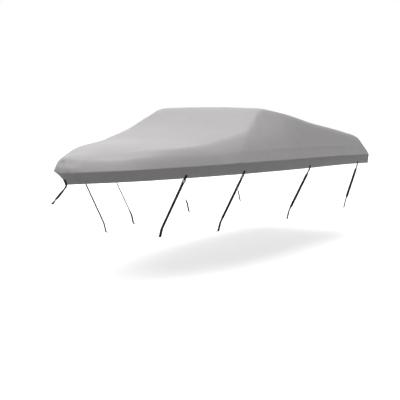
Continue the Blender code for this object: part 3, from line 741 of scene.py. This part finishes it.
CLOTH_COLOUR = (0.500, 0.487, 0.490)
# painted shade, mixed into the cloth down between its threads
CLOTH_SHADE = (0.34, 0.33, 0.333)
top_cloth = cloth_material("top_cloth", CLOTH_COLOUR, CLOTH_SHADE)
skirt_cloth = cloth_material("skirt_cloth", CLOTH_COLOUR, CLOTH_SHADE)
webbing_38, webbing_32, webbing_25 = (
    webbing_material(f"webbing_{round(1000 * wide)}", (0.007, 0.007, 0.008), (0.022, 0.022, 0.024), wide)
    for wide in (WEB, TAB_WEB, BOW_WEB))
plastic = plastic_material("buckle_plastic")
grey_thread = thread_material("grey_thread", (0.30, 0.295, 0.29))
black_thread = thread_material("black_thread", (0.05, 0.05, 0.052))

# ----------------------------------------------------------------------------
# the top
# ----------------------------------------------------------------------------
FINE_HALF = half_outline(transom=26, corner=14, side=190, nose=44)
FINE = whole_outline(FINE_HALF)
FINE_IN = inboard(FINE)
COUNT = len(FINE)
RAIL_RUN = np.concatenate([[0.0], np.cumsum(np.linalg.norm(np.diff(FINE, axis=0), axis=1))])
SEAM_LAP = 0.010                # the top laps this far over the skirt
SEAM_OUT = 0.0019               # and stands this far off it


def blur(values, times):
    """Evens out heights along the boat, keeping the rail ring as it is."""
    v = values.copy()
    for _ in range(times):
        w = v.copy()
        w[1:-1] = 0.25 * v[:-2] + 0.5 * v[1:-1] + 0.25 * v[2:]
        v[:, 6:] = w[:, 6:]
    for _ in range(times // 2):
        w = v.copy()
        w[:, 7:-1] = 0.25 * v[:, 6:-2] + 0.5 * v[:, 7:-1] + 0.25 * v[:, 8:]
        v = w
    return v


def top_grid():
    fwd, y = grid_of_top(FINE_HALF, 8, 22, 22)
    up = top_up(fwd, y)
    steps = len(FINE_HALF)
    along = slice(60, steps - 44)
    up[along] = blur(up, 8)[along]
    star = slice(-2, 0, -1)
    fwd = np.vstack([fwd, fwd[star]])
    y = np.vstack([y, -y[star]])
    up = np.vstack([up, up[star]])
    return fwd, y, up


CHART_FWD = np.linspace(0.0, LENGTH, 217)
CHART_Y = np.linspace(0.0, 1.08, 109)
_grid = np.meshgrid(CHART_FWD, CHART_Y, indexing="ij")
_up = top_up(*_grid)
CHART_V = np.concatenate([np.zeros((len(CHART_FWD), 1)), np.cumsum(np.hypot(
    np.diff(_grid[1], axis=1), np.diff(_up, axis=1)), axis=1)], 1)
CHART_U = np.concatenate([[0.0], np.cumsum(np.hypot(np.diff(CHART_FWD), np.diff(_up[:, 0])))])


def chart_place(fwd, y):
    """Where a place on the top lies in the flat cloth: along the boat by the
    length of the centre line, across it by the length of the section there."""
    u = np.interp(fwd, CHART_FWD, CHART_U)
    a = np.clip(fwd / CHART_FWD[1], 0.0, len(CHART_FWD) - 1.001)
    b = np.clip(np.abs(y) / CHART_Y[1], 0.0, len(CHART_Y) - 1.001)
    i, j = a.astype(int), b.astype(int)
    a, b = a - i, b - j
    v = ((CHART_V[i, j] * (1 - b) + CHART_V[i, j + 1] * b) * (1 - a)
         + (CHART_V[i + 1, j] * (1 - b) + CHART_V[i + 1, j + 1] * b) * a)
    return np.stack([u + 0 * v, np.sign(y) * v], -1)


def build_top():
    fwd, y, up = top_grid()
    rings = fwd.shape[1]
    points = to_frame(fwd, y, up)
    girth = np.cumsum(np.linalg.norm(np.diff(points, axis=1, prepend=points[:, :1]), axis=2), axis=1)
    near = np.exp(-girth / 0.045)
    lift = fold_height(fwd, y)
    run = RAIL_RUN[:, None]
    lift = lift + 0.0011 * near * wave(run, 0.060, 0.4) * np.clip(girth / 0.006, 0.0, 1.0)
    lift = lift + 0.0011 * smooth_step((0.013 - girth) / 0.003)         # seam allowance under
    lift = lift + swell_height(FINE[:, :1], FINE[:, 1:2], girth)
    # the cloth swells a little over the stem
    lift = lift + (0.0090 * np.exp(-((girth - 0.044) / 0.036) ** 2)
                   * smooth_step((girth - 0.004) / 0.026)
                   * smooth_step((FINE[:, :1] - 5.29) / 0.09))
    # the lap over the skirt, in three more rings below the rail
    drop = of_table(SKIRT, 1, FINE[:, 0])
    out = np.stack([FINE_IN[:, 0], FINE_IN[:, 1], 0 * FINE_IN[:, 0]], 1)               # out, in the frame
    lap = []
    for down_by, off in ((SEAM_LAP, SEAM_OUT), (0.55 * SEAM_LAP, SEAM_OUT + 0.0002),
                         (0.2 * SEAM_LAP, SEAM_OUT)):
        f, yy, u = skirt_place(FINE[:, 0], FINE[:, 1], FINE_IN, down_by / drop)
        lap.append(to_frame(f, yy, u) + out * off)
    lap = np.stack(lap, 1)
    points = np.concatenate([lap, points], 1)
    lift = np.concatenate([np.zeros((COUNT, 3)), lift], 1)
    reach = np.array([[0.010, 0.0055, 0.002]])
    edge = FINE[:, :1] + 0 * reach, FINE[:, 1:] + np.sign(FINE[:, 1:]) * reach
    chart = chart_place(np.concatenate([edge[0], fwd], 1), np.concatenate([edge[1], y], 1))
    uv = chart.reshape(-1, 2)
    quads = grid_faces(COUNT, rings + 3, closed=True)
    ob = cloth_shell("top_sheet", points.reshape(-1, 3), uv.tolist(), quads, 0.0012,
                     top_cloth, lift.reshape(-1))
    return ob


# ----------------------------------------------------------------------------
# the skirt, with its hem
# ----------------------------------------------------------------------------
HEM = 0.036                     # height of the hem
TIE_AT = [row[0] for row in TIES]


def tie_calm(fwd0):
    """0 at a tab, 1 away from it: the cloth lies flat under the webbing."""
    calm = np.ones(np.shape(fwd0))
    for f in TIE_AT:
        calm = calm * smooth_step((np.abs(fwd0 - f) - 0.026) / 0.050)
    return calm * smooth_step((LENGTH - fwd0 - 0.006) / 0.030)


def tie_pull(fwd0, t):
    """Soft folds that fan up from each tab towards the rail."""
    total = np.zeros(np.broadcast(fwd0, t).shape)
    for k, f in enumerate(TIE_AT):
        for slope, height in ((0.55, 0.0022), (-0.55, 0.0022), (1.25, -0.0016), (-1.30, -0.0016)):
            d = (fwd0 - f) - slope * 0.12 * (0.72 - t)
            total += height * np.exp(-(d / 0.016) ** 2) * smooth_step((0.72 - t) / 0.30) * \
                smooth_step(t / 0.25)
    return total


def build_skirt():
    rows = np.concatenate([[0.0, 0.04, 0.10], np.linspace(0.17, 0.66, 8),
                           [0.695, 0.712, 0.735], np.linspace(0.77, 0.94, 5), [0.97, 0.99, 1.0]])
    fwd0, y0 = FINE[:, 0], FINE[:, 1]
    t = rows[None, :]
    f, y, up = skirt_place(fwd0[:, None], y0[:, None], FINE_IN[:, None, :], t)
    points = to_frame(f, y, up - np.where(t == 0.0, GAP, 0.0))
    drop = of_table(SKIRT, 1, fwd0)[:, None]
    run = RAIL_RUN[:, None]
    calm = tie_calm(fwd0)[:, None]
    free = smooth_step(t / 0.3)
    lift = 0.0012 * wave(run, 0.260, 1.1) * free * calm
    lift = lift + 0.0004 * wave(run + 0.02 * t, 0.095, 2.0) * free * calm
    bow = smooth_step((fwd0 - 4.75) / 0.5)[:, None]
    lift = lift + bow * 0.0012 * wave(run - 0.05 * t, 0.085, 0.3) * smooth_step(t / 0.6) * calm
    lift = lift + tie_pull(fwd0[:, None], t)
    above_edge = (1.0 - t) * drop
    hem = smooth_step((HEM - above_edge) / 0.003)
    lift = lift + 0.0005 * hem - 0.0007 * np.exp(-((above_edge - HEM + 0.005) / 0.0022) ** 2) * calm
    lift = lift - 0.0009 * smooth_step((0.004 - above_edge) / 0.004)
    thick = 0.0012 + 0.0010 * hem
    uv = np.stack([run + 0 * t, t * drop], -1)
    quads = grid_faces(COUNT, len(rows), closed=True)
    uv = uv.reshape(-1, 2)
    return cloth_shell("skirt_sheet", points.reshape(-1, 3), uv.tolist(), quads,
                       (thick + 0 * run).reshape(-1), skirt_cloth, (lift + 0 * run).reshape(-1))


# ----------------------------------------------------------------------------
# seams: rows of stitches lying on the cloth
# ----------------------------------------------------------------------------
def stitch_row(points, out, pitch, long, wide, high):
    """Short stitches along a line of points: each a slim eight-faced bead whose
    lower half is in the cloth."""
    run = np.concatenate([[0.0], np.cumsum(np.linalg.norm(np.diff(points, axis=0), axis=1))])
    at = np.arange(0.5 * pitch, run[-1], pitch)
    centre = np.stack([np.interp(at, run, points[:, c]) for c in range(3)], 1)
    ahead = np.stack([np.interp(at + 0.4 * pitch, run, points[:, c]) for c in range(3)], 1)
    normal = unit(np.stack([np.interp(at, run, out[:, c]) for c in range(3)], 1))
    along = unit(ahead - centre)
    along = np.where(np.linalg.norm(ahead - centre, axis=1)[:, None] > 1e-6, along, np.roll(along, 1, 0))
    side = np.cross(normal, along)
    corners = np.stack([centre - along * 0.5 * long, centre + side * 0.5 * wide,
                        centre + along * 0.5 * long, centre - side * 0.5 * wide,
                        centre + normal * high, centre - normal * 0.4 * high], 1)
    faces = ((0, 3, 4), (3, 2, 4), (2, 1, 4), (1, 0, 4), (3, 0, 5), (2, 3, 5), (1, 2, 5), (0, 1, 5))
    return corners.reshape(-1, 3), [[6 * k + i for i in f] for k in range(len(at)) for f in faces]


def put_stitches(name, rows, material):
    points, faces, n = [], [], 0
    for p, f in rows:
        points.append(p)
        faces += [[n + i for i in face] for face in f]
        n += len(p)
    return put_mesh(name, np.vstack(points), faces, None, [material])


def seam_stitches():
    """Two rows along the lapped seam, on the skirt's path, all the way
    round."""
    ring = np.append(np.arange(COUNT), 0)
    drop = of_table(SKIRT, 1, FINE[:, 0])
    out = np.stack([FINE_IN[:, 0], FINE_IN[:, 1], 0 * FINE_IN[:, 0]], 1)
    rows = []
    for down_by, off in ((0.0070, SEAM_OUT + 0.0001), (0.0028, SEAM_OUT + 0.0001)):
        f, y, u = skirt_place(FINE[:, 0], FINE[:, 1], FINE_IN, down_by / drop)
        p = to_frame(f, y, u) + out * off
        rows.append(stitch_row(p[ring], out[ring], 0.0048, 0.0036, 0.0009, 0.0005))
    return rows


# ----------------------------------------------------------------------------
# webbing, on the same paths as the solids
# ----------------------------------------------------------------------------

HALF = half_outline(transom=5, corner=3, side=26, nose=7)       # the solids' outline
AROUND = whole_outline(HALF)


def rounded(path, radius, steps):
    """A 3-D path with each inner bend replaced by a short curve."""
    out = [path[0]]
    for a, b, c in zip(path[:-2], path[1:-1], path[2:]):
        u, v = a - b, c - b
        r = min(radius, 0.45 * np.linalg.norm(u), 0.45 * np.linalg.norm(v))
        p = b + u / np.linalg.norm(u) * r
        q = b + v / np.linalg.norm(v) * r
        for i in range(steps + 1):
            t = i / steps
            out.append(p * (1 - t) ** 2 + b * 2 * t * (1 - t) + q * t * t)
    out.append(path[-1])
    return np.array(out)


class Path:
    """A centre line with a width direction at each of its points; places are
    given by the distance along it and the offset out from it."""

    def __init__(self, points, across):
        self.points, self.across = points, unit(across)
        step = np.diff(points, axis=0)
        self.at = np.concatenate([[0.0], np.cumsum(np.linalg.norm(step, axis=1))])
        self.leg = unit(step)

    def frame(self, s):
        """Centre, direction along, across and out; at a bend the direction out
        is the mitre, long enough to keep the thickness."""
        k = int(np.clip(np.searchsorted(self.at, s) - 1, 0, len(self.leg) - 1))
        along, stretch = self.leg[k], 1.0
        if k + 1 < len(self.leg) and abs(s - self.at[k + 1]) < 1e-7:
            both = unit(self.leg[k] + self.leg[k + 1])
            stretch = 1.0 / float(both @ along)
            along = both
        centre = self.points[k] + self.leg[k] * (s - self.at[k])
        mix = np.clip((s - self.at[k]) / (self.at[k + 1] - self.at[k]), 0.0, 1.0)
        across = self.across[k] * (1.0 - mix) + self.across[k + 1] * mix
        across = unit(across - (across @ along) * along)
        return centre, along, across, stretch * np.cross(along, across)

    def place(self, flat, half):
        """Both edges of the width, for rows of (distance along, offset)."""
        low, high = [], []
        for s, offset in flat:
            centre, _, across, out = self.frame(s)
            low.append(centre + out * offset - across * half)
            high.append(centre + out * offset + across * half)
        return np.array(low), np.array(high)


def skirt_face(fwd, side, rows, lean):
    """The skirt's outer facet at a place along the boat: points down it at the
    given t, the first `lean` further aft than the last, the direction along
    the boat and the direction out, in the frame."""
    n_in = inboard(AROUND)
    k = len(HALF)
    i = int(np.searchsorted(HALF[:, 0], fwd) - 1)
    lo, hi = HALF[i, 0], HALF[i + 1, 0]
    inset = (0.5 * WEB + 0.004) / (hi - lo)
    mix = min(max((fwd - lo) / (hi - lo), inset + lean / (hi - lo)), 1.0 - inset)
    grid = (0.0, 0.25, 0.5, 0.75, 1.0)
    ends = []
    for j in (i, i + 1):
        f, y, up = skirt_place(AROUND[j, 0], AROUND[j, 1], n_in[j], np.array(grid))
        ends.append(to_frame(f, y * side, up))
    line = ends[0] * (1 - mix) + ends[1] * mix
    points = np.stack([np.interp(rows, grid, line[:, c]) for c in range(3)], -1)
    along = unit(ends[1][-2] - ends[0][-2])
    down = unit(line[-1] - line[-2])
    out = unit(np.cross(along, down))
    if out[1] * side > 0.0:           # port (side +1) faces -Y in the frame
        out = -out
    rows = np.asarray(rows)
    points = points - along * (lean * (1.0 - rows) / (1.0 - rows[0]))[:, None]
    return points, along, out


def side_path(row, side):
    """Centre line of a side tie: down the skirt, past the hem, straight to the
    trailer rail, down its outer side and in under it."""
    fwd, t_top, lean, aft, bend_y, bend_up, low_y, low_up, turn_by = row
    t = np.array([t_top, 1.0] if t_top >= 0.75 else [t_top, 0.75, 1.0])
    face, along, out = skirt_face(fwd, side, t, lean)
    lift = TIE_GAP + PLY
    skirt = face + out * lift
    hem = skirt[-1] + unit(skirt[-1] - skirt[-2]) * 0.0035
    fwd = ORIGIN_FWD - face[-1, 0] - aft
    bend, low, end = (to_frame(fwd, side * y, up) for y, up in
                      ((bend_y, bend_up), (low_y, low_up),
                       (low_y - TUCKED, low_up - 0.004)))
    bends = rounded(np.array([hem, bend, low, end]), 0.012, 8)
    leg = bends[1] - bends[0]
    long = float(np.linalg.norm(leg))
    leg = leg / long
    at = np.concatenate([TURN_FROM + TURN_OVER * np.arange(13) / 12.0,
                         long - 0.020 - TURN_OVER * np.arange(12, -1, -1) / 12.0])
    at = at if turn_by else at[:0]
    path = np.vstack([skirt, bends[:1], bends[0] + leg * at[:, None], bends[1:]])
    a = np.array(column(TRAILER_RAIL, 0))
    y = column(TRAILER_RAIL, 1)
    lean = (follow(a, y, fwd + 0.05) - follow(a, y, fwd - 0.05)) / 0.1
    rail_along = unit(to_frame(fwd + 1.0, side * lean, 0.0) - to_frame(fwd, 0.0, 0.0))
    mix = np.clip((path[:, 2] - hem[2]) / (bend[2] - hem[2]), 0.0, 1.0)[:, None]
    across = (along * (1 - mix) + rail_along * mix) * side
    first = len(skirt) + 1
    for k, s in enumerate(at):
        t = min(max(min(s - TURN_FROM, long - 0.020 - s) / TURN_OVER, 0.0), 1.0)
        a = math.radians(turn_by) * t * t * (3.0 - 2.0 * t)
        level = unit(across[first + k] - (across[first + k] @ leg) * leg)
        across[first + k] = level * math.cos(a) + side * np.cross(leg, level) * math.sin(a)
    start = float(np.linalg.norm(np.diff(np.vstack([skirt, hem]), axis=0), axis=1).sum())
    return Path(path, across), start


def fine_path(points, across, step=0.004):
    """The same line with many more points."""
    run = np.concatenate([[0.0], np.cumsum(np.linalg.norm(np.diff(points, axis=0), axis=1))])
    n = max(2, int(round(run[-1] / step)) + 1)
    at = np.unique(np.concatenate([np.linspace(0.0, run[-1], n), run]))
    at = at[np.concatenate([[True], np.diff(at) > 1e-6])]
    return (np.stack([np.interp(at, run, points[:, c]) for c in range(3)], 1),
            unit(np.stack([np.interp(at, run, across[:, c]) for c in range(3)], 1)))


def web_profile(wide):
    """Cross-section of a ply: (across, out) all the way round, edges rounded
    and a little thicker than the middle."""
    half, t = 0.5 * wide, 0.5 * PLY
    top = [(half * x, t * (0.80 + 0.20 * abs(x) ** 3)) for x in (0.93, 0.78, 0.52, 0.26, 0.0)]
    top += [(-x, u) for x, u in top[-2::-1]]
    left = [(-half * 0.985, 0.62 * t), (-half, 0.0), (-half * 0.985, -0.62 * t)]
    bottom = [(x, -u) for x, u in top[::-1]]
    right = [(half * 0.985, -0.62 * t), (half, 0.0), (half * 0.985, 0.62 * t)]
    return np.array(top + left + bottom + right)


def sweep(centres, across, normals, name, material, wide):
    """A ply of webbing along a dense line, closed at both ends."""
    profile = web_profile(wide)
    n, k = len(centres), len(profile)
    p = (centres[:, None] + across[:, None] * profile[None, :, :1]
         + normals[:, None] * profile[None, :, 1:])
    run = np.concatenate([[0.0], np.cumsum(np.linalg.norm(np.diff(centres, axis=0), axis=1))])
    faces, uv = [], []
    for i in range(n - 1):
        for j in range(k):
            m = (j + 1) % k
            faces.append([i * k + j, (i + 1) * k + j, (i + 1) * k + m, i * k + m])
            uv += [(run[i], profile[j, 0]), (run[i + 1], profile[j, 0]),
                   (run[i + 1], profile[m, 0]), (run[i], profile[m, 0])]
    # ends: strips between the facing points of the profile
    for i, flip in ((0, False), (n - 1, True)):
        ring = [i * k + j for j in range(k)]
        loop = ring if flip else ring[::-1]
        faces.append(loop)
        uv += [(run[i], float(profile[v - i * k, 0])) for v in loop]
    return name, p.reshape(-1, 3), faces, uv, material


def outward(faces, points):
    """Turns the faces round if they point in (by the enclosed volume)."""
    volume = 0.0
    for f in faces:
        for b, c in zip(f[1:-1], f[2:]):
            volume += float(np.dot(points[f[0]], np.cross(points[b], points[c])))
    return volume > 0.0


def put_web(name, plies):
    """One object from one or more swept plies."""
    points, faces, uv, n = [], [], [], 0
    for _, p, f, t, m in plies:
        if not outward(f, p - p.mean(0)):
            f = [face[::-1] for face in f]
            out, k = [], 0
            for face in f:
                out += t[k:k + len(face)][::-1]
                k += len(face)
            t = out
        points.append(p)
        faces += [[n + i for i in face] for face in f]
        uv += t
        n += len(p)
    return put_mesh(name, np.vstack(points), faces, uv, [plies[0][4]], sharp=50)


class Lane:
    """A dense version of a path, with a steady frame, to lay webbing on."""

    def __init__(self, points, across):
        self.points, self.across = fine_path(points, across, 0.003)
        for _ in range(2):
            a = self.across.copy()
            a[1:-1] = unit(0.25 * self.across[:-2] + 0.5 * self.across[1:-1] + 0.25 * self.across[2:])
            self.across = a
        self.along = unit(np.gradient(self.points, axis=0))
        self.across = unit(self.across - (self.across * self.along).sum(1)[:, None] * self.along)
        self.out = np.cross(self.along, self.across)
        self.at = np.concatenate([[0.0], np.cumsum(np.linalg.norm(np.diff(self.points, axis=0), axis=1))])

    def read(self, s, offset):
        """Centres, across and the lane's along and out at distances s."""
        def get(a):
            return np.stack([np.interp(s, self.at, a[:, c]) for c in range(3)], 1)
        out = unit(get(self.out))
        return get(self.points) + out * np.asarray(offset)[:, None], unit(get(self.across)), \
            unit(get(self.along)), out

    def ply(self, line, name, material, wide):
        """A ply along a line of (distance, offset) rows, drawn in order."""
        line = np.array(line, float)
        centre, across, _, _ = self.read(line[:, 0], line[:, 1])
        t = unit(np.gradient(centre, axis=0))
        normal = unit(np.cross(t, across))
        return sweep(centre, across, normal, name, material, wide)


def loop_line(bar, sign, far_a, far_b, gap=0.5 * PLY):
    """The line of one ply that comes from far_a on the outer side, goes round
    the bar and returns to far_b on the inner side.  The webbing lies towards
    sign of the bar."""
    h, q = 0.5 * BAR + 0.0005 + gap, 0.5 * BUCKLE_THICK + 0.0005 + gap
    end = 0.5 * BAR + 0.0085
    def leg(far, side):
        # from the far end towards the bar
        start, stop = far, bar + sign * end
        n = max(2, int(abs(start - stop) / 0.0035) + 1)
        rows = [(s, side * gap) for s in np.linspace(start, stop, n)]
        for k in range(1, 6):
            t = smooth_step(k / 6.0)
            rows.append((bar + sign * (end + (0.4 * h - end) * k / 6.0), side * (gap + (q - gap) * t)))
        return rows
    rows = leg(far_a, 1.0)
    for k in range(9):
        a = 0.5 * math.pi - math.pi * k / 8.0
        # a rounded end on the far side of the bar, superelliptic
        ca, sa = math.cos(a), math.sin(a)
        rows.append((bar - sign * h * abs(ca) ** 0.7 * (1 if ca >= 0 else -1),
                     q * abs(sa) ** 0.7 * (1 if sa >= 0 else -1)))
    rows += leg(far_b, -1.0)[::-1]
    return rows


def tab_stitches(lane, top, low, lift, half):
    """A box with a cross in it, on the outer face of a tab: the lane's own out
    points in towards the boat."""
    rows = []
    edge = half - 0.003
    corners = {"a": (top, -edge), "b": (top, edge), "c": (low, edge), "d": (low, -edge)}
    for one, two in ("ab", "bc", "cd", "da", "ac", "bd"):
        (s0, u0), (s1, u1) = corners[one], corners[two]
        t = np.linspace(0.0, 1.0, 12)
        s, u = s0 + (s1 - s0) * t, u0 + (u1 - u0) * t
        centre, across, _, out = lane.read(s, np.full(12, -lift))
        rows.append(stitch_row(centre + across * u[:, None], -out, 0.0030, 0.0025, 0.0007, 0.0004))
    return rows


def bar_tack(lane, s, lift, half, count=7):
    """Close zigzag stitches right across a strap."""
    u = np.linspace(-half + 0.002, half - 0.002, count * 4)
    ss = s + 0.0012 * np.where(np.arange(len(u)) % 2 == 0, 1.0, -1.0)
    centre, across, _, out = lane.read(ss, np.full(len(u), -lift))
    return stitch_row(centre + across * u[:, None], -out, 0.0022, 0.0019, 0.0007, 0.0004)


def buckle_mesh(name, lane, middle):
    """A moulded slide: rounded frame, two windows, a ribbed middle bar."""
    r = 0.0006
    def box(x0, x1, y0, y1, radius, steps):
        out = []
        for cx, cy, a0 in ((x1 - radius, y1 - radius, 0.0), (x0 + radius, y1 - radius, 90.0),
                           (x0 + radius, y0 + radius, 180.0), (x1 - radius, y0 + radius, 270.0)):
            for k in range(steps + 1):
                a = math.radians(a0 + 90.0 * k / steps)
                out.append((cx + radius * math.cos(a), cy + radius * math.sin(a)))
        return out
    w, l = 0.5 * BUCKLE_WIDE - r, 0.5 * BUCKLE_LONG - r
    inner = 0.5 * BUCKLE_WIDE - BUCKLE_SIDE + r
    loops = [box(-w, w, -l, l, 0.0034, 6),
             box(-inner, inner, 0.5 * MID_BAR - r, l + r - BAR + r, 0.0014, 4),
             box(-inner, inner, -l - r + BAR - r, -0.5 * MID_BAR + r, 0.0014, 4)]
    curve = bpy.data.curves.new(name + "_shape", "CURVE")
    curve.dimensions = "2D"
    curve.fill_mode = "BOTH"
    curve.extrude = 0.5 * BUCKLE_THICK - r
    curve.bevel_depth = r
    curve.bevel_resolution = 3
    for loop in loops:
        spline = curve.splines.new("POLY")
        spline.points.add(len(loop) - 1)
        for point, (x, y) in zip(spline.points, loop):
            point.co = (x, y, 0.0, 1.0)
        spline.use_cyclic_u = True
    maker = bpy.data.objects.new(name + "_shape", curve)
    scene.collection.objects.link(maker)
    bpy.context.view_layer.update()
    made = maker.evaluated_get(bpy.context.evaluated_depsgraph_get())
    mesh = bpy.data.meshes.new_from_object(made)
    bpy.data.objects.remove(maker, do_unlink=True)
    bm = bmesh.new()
    bm.from_mesh(mesh)
    bmesh.ops.remove_doubles(bm, verts=bm.verts, dist=0.00002)
    # ribs on the middle bar's outer face, for grip
    for k in range(9):
        x = -0.0128 + 0.0032 * k
        made = bmesh.ops.create_uvsphere(bm, u_segments=8, v_segments=6, radius=1.0)
        for v in made["verts"]:
            v.co = (x + v.co.x * 0.0008, v.co.y * 0.0046, -0.5 * BUCKLE_THICK + 0.0002 + v.co.z * 0.0005)
    bm.to_mesh(mesh)
    bm.free()
    centre, across, along, out = (a[0] for a in lane.read(np.array([middle]), np.zeros(1)))
    n = len(mesh.vertices)
    co = np.empty(3 * n)
    mesh.vertices.foreach_get("co", co)
    co = co.reshape(-1, 3)
    placed = centre + co[:, :1] * across + co[:, 1:2] * along + co[:, 2:] * out
    mesh.vertices.foreach_set("co", placed.ravel())
    if np.dot(np.cross(across, along), out) < 0.0:
        mesh.flip_normals()
    mesh.shade_smooth()
    mesh.set_sharp_from_angle(angle=math.radians(42))
    mesh.materials.clear()
    mesh.materials.append(plastic)
    ob = bpy.data.objects.new(name, mesh)
    scene.collection.objects.link(ob)
    return ob


def finish_piece(ob, node):
    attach(ob, "root")
    if node:
        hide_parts(node)
    return ob


def build_tie(label, row, side):
    path, hem = side_path(row, side)
    lane = Lane(path.points, path.across)
    top = hem + BELOW_HEM - 0.0035
    low = top + BUCKLE_LONG - BAR
    end = float(lane.at[-1])
    tab_line = loop_line(top, -1.0, 0.0, 0.0)
    tab = finish_piece(put_web(f"web_tab_{label}", [lane.ply(tab_line, "tab", webbing_32, TAB_WEB)]),
                       f"tab_{label}")
    strap_line = loop_line(low, 1.0, low + DOUBLE, low + DOUBLE)
    more = [(s, -0.5 * PLY) for s in lane.at if s > low + DOUBLE + 0.003]
    strap = finish_piece(put_web(f"web_strap_{label}",
                                 [lane.ply(strap_line + more, "strap", webbing_38, WEB)]),
                         f"strap_{label}")
    buckle = finish_piece(buckle_mesh(f"slide_{label}", lane, 0.5 * (top + low)),
                          f"buckle_{label}")
    rows = tab_stitches(lane, 0.004, max(hem - 0.006, 0.014), PLY, 0.5 * TAB_WEB)
    rows.append(bar_tack(lane, low + 0.014, PLY, 0.5 * WEB))
    rows.append(bar_tack(lane, low + DOUBLE - 0.004, PLY, 0.5 * WEB))
    thread = finish_piece(put_stitches(f"stitches_{label}", rows, black_thread), None)
    tab_long = 2.0 * (top + 0.5 * BAR)
    strap_long = end - low + DOUBLE + BAR
    return tab, strap, buckle, thread, (tab_long, strap_long)


def build_bow_strap():
    tip = len(HALF) - 1
    n_in = inboard(AROUND)
    f, y, up = skirt_place(AROUND[tip, 0], AROUND[tip, 1], n_in[tip],
                           np.array([0.55, 0.75, 1.0]))
    face = to_frame(f, 0.0 * y, up)
    down = unit(face[-1] - face[-2])
    out = np.array([down[2], 0.0, -down[0]])
    out = out if out[0] < 0.0 else -out
    skirt = face + out * (TIE_GAP + PLY)
    hem = skirt[-1] + down * 0.004
    free = to_frame(column(BOW_STRAP, 0), 0.0, column(BOW_STRAP, 1))
    points = np.vstack([skirt, hem, free])
    twist = np.concatenate([np.zeros(4), np.radians(column(BOW_STRAP, 2))])
    along = unit(np.gradient(points, axis=0))
    side = np.array([0.0, 1.0, 0.0])
    normal = unit(np.cross(along, side))
    across = side * np.cos(twist)[:, None] + normal * np.sin(twist)[:, None]
    lane = Lane(points, across)
    end = float(lane.at[-1])
    at = np.linspace(0.0, end, 110)
    upper = lane.ply([(s, 0.5 * PLY) for s in at], "upper", webbing_25, BOW_WEB)
    lower = lane.ply([(s, -0.5 * PLY) for s in at], "lower", webbing_25, BOW_WEB)
    strap = finish_piece(put_web("web_strap_bow", [upper, lower]), "strap_bow")
    rows = tab_stitches(lane, 0.004, 0.040, PLY, 0.5 * BOW_WEB)
    thread = finish_piece(put_stitches("stitches_bow", rows, black_thread), None)
    return strap, thread, end


# ----------------------------------------------------------------------------
# put the cover together
# ----------------------------------------------------------------------------
top_sheet = finish_piece(build_top(), "cover_top")
skirt_sheet = finish_piece(build_skirt(), "cover_skirt")
seam = finish_piece(put_stitches("stitches_seam", seam_stitches(), grey_thread), None)
for side, word in ((1, "port"), (-1, "star")):
    for i, row in enumerate(TIES):
        build_tie(f"{word}_{i + 1}", row, side)
build_bow_strap()

# ----------------------------------------------------------------------------
# floor and light
# ----------------------------------------------------------------------------
AMBIENT = 0.03
LIGHTS = (
    # name          azimuth  elevation  strength  width
    ("soft_top",       0.0,    88.0,    1.21,     50.0),
    ("soft_bow",     180.0,    60.0,    1.70,     50.0),
    ("soft_star",     30.0,     0.0,    1.93,     50.0),
    ("high_star",     45.0,    30.0,    0.55,     50.0),
    ("star_top",     120.0,    60.0,    0.33,     50.0),
    ("soft_port",    270.0,     0.0,    0.31,     50.0),
    ("high_port",    285.0,    30.0,    0.34,     50.0),
    ("low_stern",     15.0,   -35.0,    0.43,     50.0),
    ("low_star",     135.0,   -35.0,    0.27,     50.0),
    ("low_bow",      195.0,   -35.0,    0.46,     50.0),
)

bm = bmesh.new()
bmesh.ops.create_circle(bm, cap_ends=True, segments=96, radius=40.0)
floor_mesh = bpy.data.meshes.new("floor")
bm.to_mesh(floor_mesh)
bm.free()
floor = bpy.data.objects.new("floor", floor_mesh)
floor.location = (0.0, 0.0, FLOOR_Z)
scene.collection.objects.link(floor)
m = Nodes("pale_floor")
grain = m.noise(m.add("ShaderNodeTexCoord").outputs["Object"], 30.0, 3.0)
m.set(m.shader, "Base Color", m.mix(grain, (0.80, 0.80, 0.80, 1.0), (0.82, 0.82, 0.82, 1.0)))
m.shader.inputs["Roughness"].default_value = 0.9
m.shader.inputs["Emission Color"].default_value = (1.0, 1.0, 1.0, 1.0)
m.shader.inputs["Emission Strength"].default_value = 0.55
floor_mesh.materials.append(m.material)
floor.visible_diffuse = False
floor.visible_shadow = False

world = bpy.data.worlds.new("studio")
scene.world = world
world.use_nodes = True
tree = world.node_tree
ground = tree.nodes["Background"]
rays = tree.nodes.new("ShaderNodeLightPath")
backdrop = tree.nodes.new("ShaderNodeMix")
backdrop.data_type = "FLOAT"
backdrop.inputs[2].default_value = AMBIENT
backdrop.inputs[3].default_value = 1.0
tree.links.new(rays.outputs["Is Camera Ray"], backdrop.inputs[0])
tree.links.new(backdrop.outputs[0], ground.inputs["Strength"])
ground.inputs["Color"].default_value = (1.0, 1.0, 1.0, 1.0)


def add_sun(name, azimuth, elevation, strength, wide):
    """Azimuth from the stern (+X) towards starboard (+Y), in degrees."""
    light = bpy.data.lights.new(name, "SUN")
    light.energy = strength
    light.angle = math.radians(wide)
    ob = bpy.data.objects.new(name, light)
    a, e = math.radians(azimuth), math.radians(elevation)
    source = Vector((math.cos(a) * math.cos(e), math.sin(a) * math.cos(e), math.sin(e)))
    ob.rotation_euler = source.to_track_quat("Z", "Y").to_euler()
    scene.collection.objects.link(ob)
    return ob


for name, azimuth, elevation, strength, wide in LIGHTS:
    add_sun(name, azimuth, elevation, strength, wide)
scene.view_settings.view_transform = "Standard"
